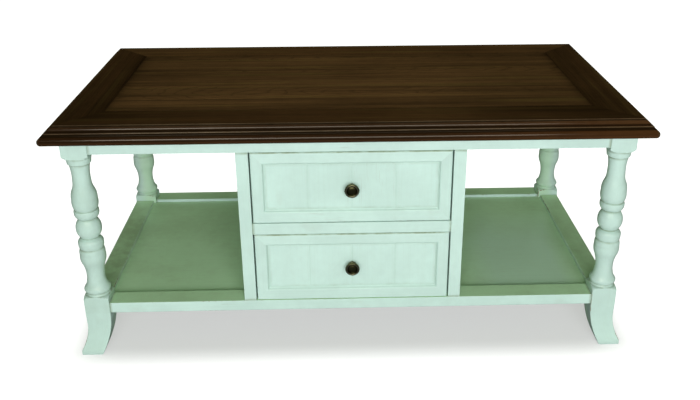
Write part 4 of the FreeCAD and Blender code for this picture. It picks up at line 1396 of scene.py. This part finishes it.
class COFFEE_TABLE_OT_case(TablePiece, bpy.types.Operator):
    """Make the stiles, divider, sides and back of the drawer case"""
    bl_idname = "coffee_table.case"
    bl_label = "Drawer Case"

    def execute(self, context):
        edges = context.scene.coffee_table.edges
        easing = edges.fine_easing
        for end in ENDS:
            for side in SIDES:
                painted_board(context, f"case_stile_{end}_{side}", "Z", ("below", "above"), easing=easing)
        painted_board(context, "drawer_divider", "X", ("left", "right"), wear=0.0)
        painted_board(context, "case_back", "X", ("left", "right", "below", "above"), easing=easing)

        rail_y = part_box("shelf_rail_back")[0].y
        shelf_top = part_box("shelf_rail_back")[1].z
        for side in SIDES:
            node = f"case_side_{side}"
            low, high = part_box(node)
            points = [(-rail_y, low.z), (rail_y, low.z), (rail_y, shelf_top), (high.y, shelf_top),
                      (high.y, high.z), (low.y, high.z), (low.y, shelf_top), (-rail_y, shelf_top)]
            bm = slab(points, 0, low.x, high.x, edges.worn_reach)
            slice_at(bm, 2, shelf_top + edges.worn_reach)
            mark_creases(bm)
            weaken(bm, "worn", 0.0)
            mark_seams(bm, ("front", "back", "below", "above"), edges.worn_reach)
            mark_grain(bm, "Y", node)
            finished(context, bm, node, "mint_paint")
        return {"FINISHED"}


def frame_outline(shape, width, thickness, edge):
    """From the outer edge inwards and from the back to the face of the drawer front's frame."""
    panel_front = thickness - shape.panel_drop
    ogee_foot = panel_front + shape.ogee_fillet
    back = thickness - shape.panel_drop - shape.hidden_edge
    return outline([
        (0.0, 0.0),
        (width, 0.0),
        (width, back),
        (width, ogee_foot),
        (width - shape.ogee_width / 2, (ogee_foot + thickness) / 2, -OGEE_BOW_SHARE),
        (width - shape.ogee_width, thickness, OGEE_BOW_SHARE),
        (edge, thickness),
        (0.0, thickness - edge, QUARTER_BOW_SHARE),
    ], OGEE_STEP)


class COFFEE_TABLE_OT_drawer_fronts(TablePiece, bpy.types.Operator):
    """Make the mitred frame and grooved panel of each drawer front"""
    bl_idname = "coffee_table.drawer_fronts"
    bl_label = "Drawer Fronts"

    def execute(self, context):
        settings = context.scene.coffee_table
        for level in LEVELS:
            self.make_frame(context, settings, level)
            self.make_panel(context, settings, level)
        return {"FINISHED"}

    def make_frame(self, context, settings, level):
        """The four mitred members, each made lying along X and turned into its place."""
        shape = settings.drawer
        prefix = f"{level}_drawer_frame"
        low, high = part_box(f"{prefix}_bottom")
        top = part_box(f"{prefix}_top")[1].z
        width = high.z - low.z
        thickness = high.y - low.y
        middle = (low.z + top) / 2
        members = {
            "bottom": (high.x - low.x, Vector((0.0, high.y, low.z)), 0),
            "left": (top - low.z, Vector((low.x, high.y, middle)), 90),
            "top": (high.x - low.x, Vector((0.0, high.y, top)), 180),
            "right": (top - low.z, Vector((high.x, high.y, middle)), 270),
        }
        for side, (whole, place, angle) in members.items():
            node = f"{prefix}_{side}"
            edge = shape.edge_round * (LOWER_EDGE_SHARE if side == "bottom" else 1.0)
            points = frame_outline(shape, width, thickness, edge)
            bm = moulded_length(points, whole, settings.edges.fine_easing * 0.6)
            reach = width + settings.edges.worn_reach
            slice_at(bm, 0, whole / 2 - reach)
            slice_at(bm, 0, reach - whole / 2)
            mark_creases(bm)
            weaken(bm, "glaze", 0.0 if side == "bottom" else FRAME_GLAZE_SHARE)
            worn = layer(bm, "worn")
            glaze = layer(bm, "glaze")
            # Painted shade in the gaps round the drawer: the top member's outer edge and the side members'
            # outer faces are glazed dark and not worn
            for vert in bm.verts:
                if side == "top" and vert.co.y < edge * 0.6 or side in SIDES and vert.co.y < TINY:
                    vert[glaze] = 1.0
                    vert[worn] = 0.0
                if vert.co.y > width / 2:
                    vert[worn] = 0.0
            mark_grain(bm, "X", node)
            put(bm, place, (math.radians(angle), "Y"), (math.pi / 2, "X"))
            finished(context, bm, node, "mint_paint")

    def make_panel(self, context, settings, level):
        """The panel with its V grooves, glazed faintly in them and beside the frame."""
        shape = settings.drawer
        node = f"{level}_drawer_front_panel"
        low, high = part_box(node)
        reach = settings.edges.worn_reach
        bm = board(low, high, 0.0, reach)
        pitch = (high.x - low.x) / shape.boards
        for index in range(1, shape.boards):
            centre = low.x + pitch * index
            for offset in GROOVE_LOOP_SHARES:
                slice_at(bm, 0, centre + shape.groove_width * offset)
            for vert in bm.verts:
                if abs(vert.co.x - centre) < TINY and abs(vert.co.y - low.y) < TINY:
                    vert.co.y += shape.groove_depth
        for inset in (shape.hidden_edge, shape.hidden_edge + reach):
            slice_inside(bm, 0, low.x, high.x, inset)
            slice_inside(bm, 2, low.z, high.z, inset)
        mark_creases(bm)
        weaken(bm, "worn", 0.0)
        weaken(bm, "glaze", GROOVE_GLAZE_SHARE)
        glaze = layer(bm, "glaze")
        for vert in bm.verts:
            inside = min(vert.co.x - low.x, high.x - vert.co.x, vert.co.z - low.z, high.z - vert.co.z)
            seen = 1.0 - (inside - shape.hidden_edge) / reach
            vert[glaze] = max(vert[glaze], PANEL_EDGE_GLAZE * min(1.0, max(0.0, seen)))
        mark_grain(bm, "Z", node)
        finished(context, bm, node, "mint_paint")


class COFFEE_TABLE_OT_drawer_boxes(TablePiece, bpy.types.Operator):
    """Make the bare wooden box behind each drawer front"""
    bl_idname = "coffee_table.drawer_boxes"
    bl_label = "Drawer Boxes"

    def execute(self, context):
        edges = context.scene.coffee_table.edges
        for level in LEVELS:
            for side in (*ENDS, *SIDES, "bottom"):
                node = f"{level}_drawer_box_{side}"
                low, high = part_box(node)
                bm = board(low, high, edges.easing, edges.worn_reach)
                mark_creases(bm)
                mark_grain(bm, "Y" if side in SIDES else "X", node)
                finished(context, bm, node, "drawer_wood")
        return {"FINISHED"}


class COFFEE_TABLE_OT_knobs(TablePiece, bpy.types.Operator):
    """Turn the two dished bronze knobs"""
    bl_idname = "coffee_table.knobs"
    bl_label = "Knobs"

    def execute(self, context):
        for level in LEVELS:
            node = f"{level}_drawer_knob"
            low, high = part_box(node)
            radius = (high.x - low.x) / 2
            depth = high.y - low.y
            points = [(0.0, 0.0)]
            for radius_share, height_share, bow_share in KNOB_SHARES:
                place = (radius * radius_share, depth * height_share)
                points += arc(points[-1], place, bow_share, KNOB_STEP)
            bm = spun(points, KNOB_FACES)
            mark_creases(bm, KNOB_BENDS)
            put(bm, (0.0, high.y, (low.z + high.z) / 2), (math.pi / 2, "X"))
            finished(context, bm, node, "aged_bronze", flat=False)
        return {"FINISHED"}


class COFFEE_TABLE_OT_hidden_parts(TablePiece, bpy.types.Operator):
    """Finish the runners, kickers, corner blocks and screws"""
    bl_idname = "coffee_table.hidden_parts"
    bl_label = "Runners, Blocks and Screws"

    def execute(self, context):
        for node, item in frame["nodes"].items():
            if node.endswith("screw") or node == "wood_screws":
                finish = "zinc_screw"
            elif node.startswith(("drawer_runner", "drawer_kickers", "corner_block")):
                finish = "runner_wood"
            else:
                continue
            item.data.materials.clear()
            item.data.materials.append(finish_named(context, finish))
        return {"FINISHED"}


def soft_lamp(context, name, energy):
    """A rectangular lamp in its own place, turned to the point that it faces."""
    place, target, size = LAMPS[name]
    lamp = bpy.data.lights.new(f"{name} lamp", "AREA")
    lamp.shape = "RECTANGLE"
    lamp.energy = energy
    lamp.size, lamp.size_y = size
    item = bpy.data.objects.new(f"{name} lamp", lamp)
    context.scene.collection.objects.link(item)
    turn = (Vector(target) - Vector(place)).to_track_quat("-Z", "Y").to_matrix().to_4x4()
    item.matrix_world = Matrix.Translation(place) @ turn
    return item


class COFFEE_TABLE_OT_stage(TablePiece, bpy.types.Operator):
    """Set the floor, the white surround, the soft lamps and the camera"""
    bl_idname = "coffee_table.stage"
    bl_label = "Stage"

    def execute(self, context):
        stage = context.scene.coffee_table.stage
        self.make_floor(context, stage)
        self.make_surround(context, stage)
        soft_lamp(context, "overhead", stage.overhead_power).visible_glossy = False
        soft_lamp(context, "front", stage.front_power).visible_glossy = False
        for name, part in (("gloss", 1.0), ("side gloss", SIDE_GLOSS_SHARE)):
            lamp = soft_lamp(context, name, stage.gloss_power * part)
            lamp.visible_diffuse = False
            lamp.data.color = stage.gloss_colour
        self.make_camera(context, stage)
        context.scene.view_settings.view_transform = "Standard"
        return {"FINISHED"}

    def make_floor(self, context, stage):
        """A floor with a glow of its own, which is lower under the table as a painted shadow."""
        bm = bmesh.new()
        bmesh.ops.create_grid(bm, x_segments=FLOOR_SQUARES, y_segments=FLOOR_SQUARES, size=stage.floor_radius)
        mesh = bpy.data.meshes.new("floor")
        bm.to_mesh(mesh)
        bm.free()
        floor = bpy.data.objects.new("floor", mesh)
        context.scene.collection.objects.link(floor)
        material, tree, both = new_material("pale floor", "ShaderNodeAddShader")
        matte = add_node(tree, "ShaderNodeBsdfDiffuse")
        glow = add_node(tree, "ShaderNodeEmission")
        tree.links.new(matte.outputs[0], both.inputs[0])
        tree.links.new(glow.outputs[0], both.inputs[1])
        glossy = ray(tree, "Glossy")
        feed(matte, Color=mixed(glossy, stage.floor_colour, toned(stage.floor_colour, stage.floor_gloss)))
        seen = compute("MAXIMUM", ray(tree, "Camera"), ray(tree, "Transmission"))
        seen = compute("MAXIMUM", seen, glossy * stage.floor_gloss)
        first, second, _ = parted(object_place(tree))
        beyond = [compute("MAXIMUM", compute("ABSOLUTE", place) - edge, 0.0)
                  for place, edge in ((first, stage.shadow_x), (second, stage.shadow_y))]
        away = fed(add_node(tree, "ShaderNodeVectorMath", operation="LENGTH"), "Value", joined(*beyond, 0.0))
        feed(glow, Strength=seen * ranged(away, 0.0, stage.shadow_fade, stage.floor_glow, 1.0))
        mesh.materials.append(material)

    def make_surround(self, context, stage):
        """White for the camera, and a dim light from all round for everything else."""
        world = bpy.data.worlds.new("white surround")
        context.scene.world = world
        world.use_nodes = True
        tree = world.node_tree
        tree.nodes.clear()
        gloss = compute("MAXIMUM", ray(tree, "Glossy"), ray(tree, "Transmission"))
        camera = ray(tree, "Camera")
        unseen = ranged(gloss, 0.0, 1.0, stage.fill, stage.gloss_fill, "LINEAR")
        room = mixed(gloss, stage.fill_colour, stage.gloss_fill_colour)
        background = add_node(tree, "ShaderNodeBackground")
        feed(background, Strength=compute("MAXIMUM", unseen, camera),
             Color=mixed(camera, room, (1.0, 1.0, 1.0)))
        output = add_node(tree, "ShaderNodeOutputWorld")
        tree.links.new(background.outputs[0], output.inputs["Surface"])

    def make_camera(self, context, stage):
        """The camera, turned by its yaw and pitch and then leant by its roll."""
        camera = bpy.data.cameras.new("camera")
        camera.sensor_width = SENSOR_WIDTH
        camera.lens = stage.lens
        camera.shift_x = stage.shift_x
        camera.shift_y = stage.shift_y
        item = bpy.data.objects.new("camera", camera)
        context.scene.collection.objects.link(item)
        forward = Vector((math.sin(stage.yaw) * math.cos(stage.pitch),
                          math.cos(stage.yaw) * math.cos(stage.pitch), -math.sin(stage.pitch)))
        level = Vector((math.cos(stage.yaw), -math.sin(stage.yaw), 0.0))
        upright = level.cross(forward)
        right = level * math.cos(stage.roll) + upright * math.sin(stage.roll)
        up = upright * math.cos(stage.roll) - level * math.sin(stage.roll)
        turn = Matrix((right, up, -forward)).transposed().to_4x4()
        item.matrix_world = Matrix.Translation(Vector(stage.place)) @ turn
        context.scene.camera = item


class COFFEE_TABLE_PT_panel(bpy.types.Panel):
    """Lists the table's operators in the sidebar"""
    bl_idname = "COFFEE_TABLE_PT_panel"
    bl_label = "Coffee Table"
    bl_space_type = "VIEW_3D"
    bl_region_type = "UI"
    bl_category = "Coffee Table"

    def draw(self, context):
        column = self.layout.column(align=True)
        for operator in OPERATORS:
            column.operator(operator.bl_idname)


OPERATORS = (
    COFFEE_TABLE_OT_top_field,
    COFFEE_TABLE_OT_top_borders,
    COFFEE_TABLE_OT_legs,
    COFFEE_TABLE_OT_aprons,
    COFFEE_TABLE_OT_shelf,
    COFFEE_TABLE_OT_case,
    COFFEE_TABLE_OT_drawer_fronts,
    COFFEE_TABLE_OT_drawer_boxes,
    COFFEE_TABLE_OT_knobs,
    COFFEE_TABLE_OT_hidden_parts,
    COFFEE_TABLE_OT_stage,
)
CLASSES = (
    EdgeMoulding,
    LegShape,
    DrawerShape,
    BoardEdges,
    Finishes,
    StageSettings,
    CoffeeTableSettings,
    *OPERATORS,
    COFFEE_TABLE_PT_panel,
)


def register():
    for item in CLASSES:
        bpy.utils.register_class(item)
    bpy.types.Scene.coffee_table = PointerProperty(type=CoffeeTableSettings)


def unregister():
    del bpy.types.Scene.coffee_table
    for item in reversed(CLASSES):
        bpy.utils.unregister_class(item)


def main():
    register()
    bpy.ops.coffee_table.top_field()
    bpy.ops.coffee_table.top_borders()
    bpy.ops.coffee_table.legs()
    bpy.ops.coffee_table.aprons()
    bpy.ops.coffee_table.shelf()
    bpy.ops.coffee_table.case()
    bpy.ops.coffee_table.drawer_fronts()
    bpy.ops.coffee_table.drawer_boxes()
    bpy.ops.coffee_table.knobs()
    bpy.ops.coffee_table.hidden_parts()
    bpy.ops.coffee_table.stage()


if __name__ == "__main__":
    main()
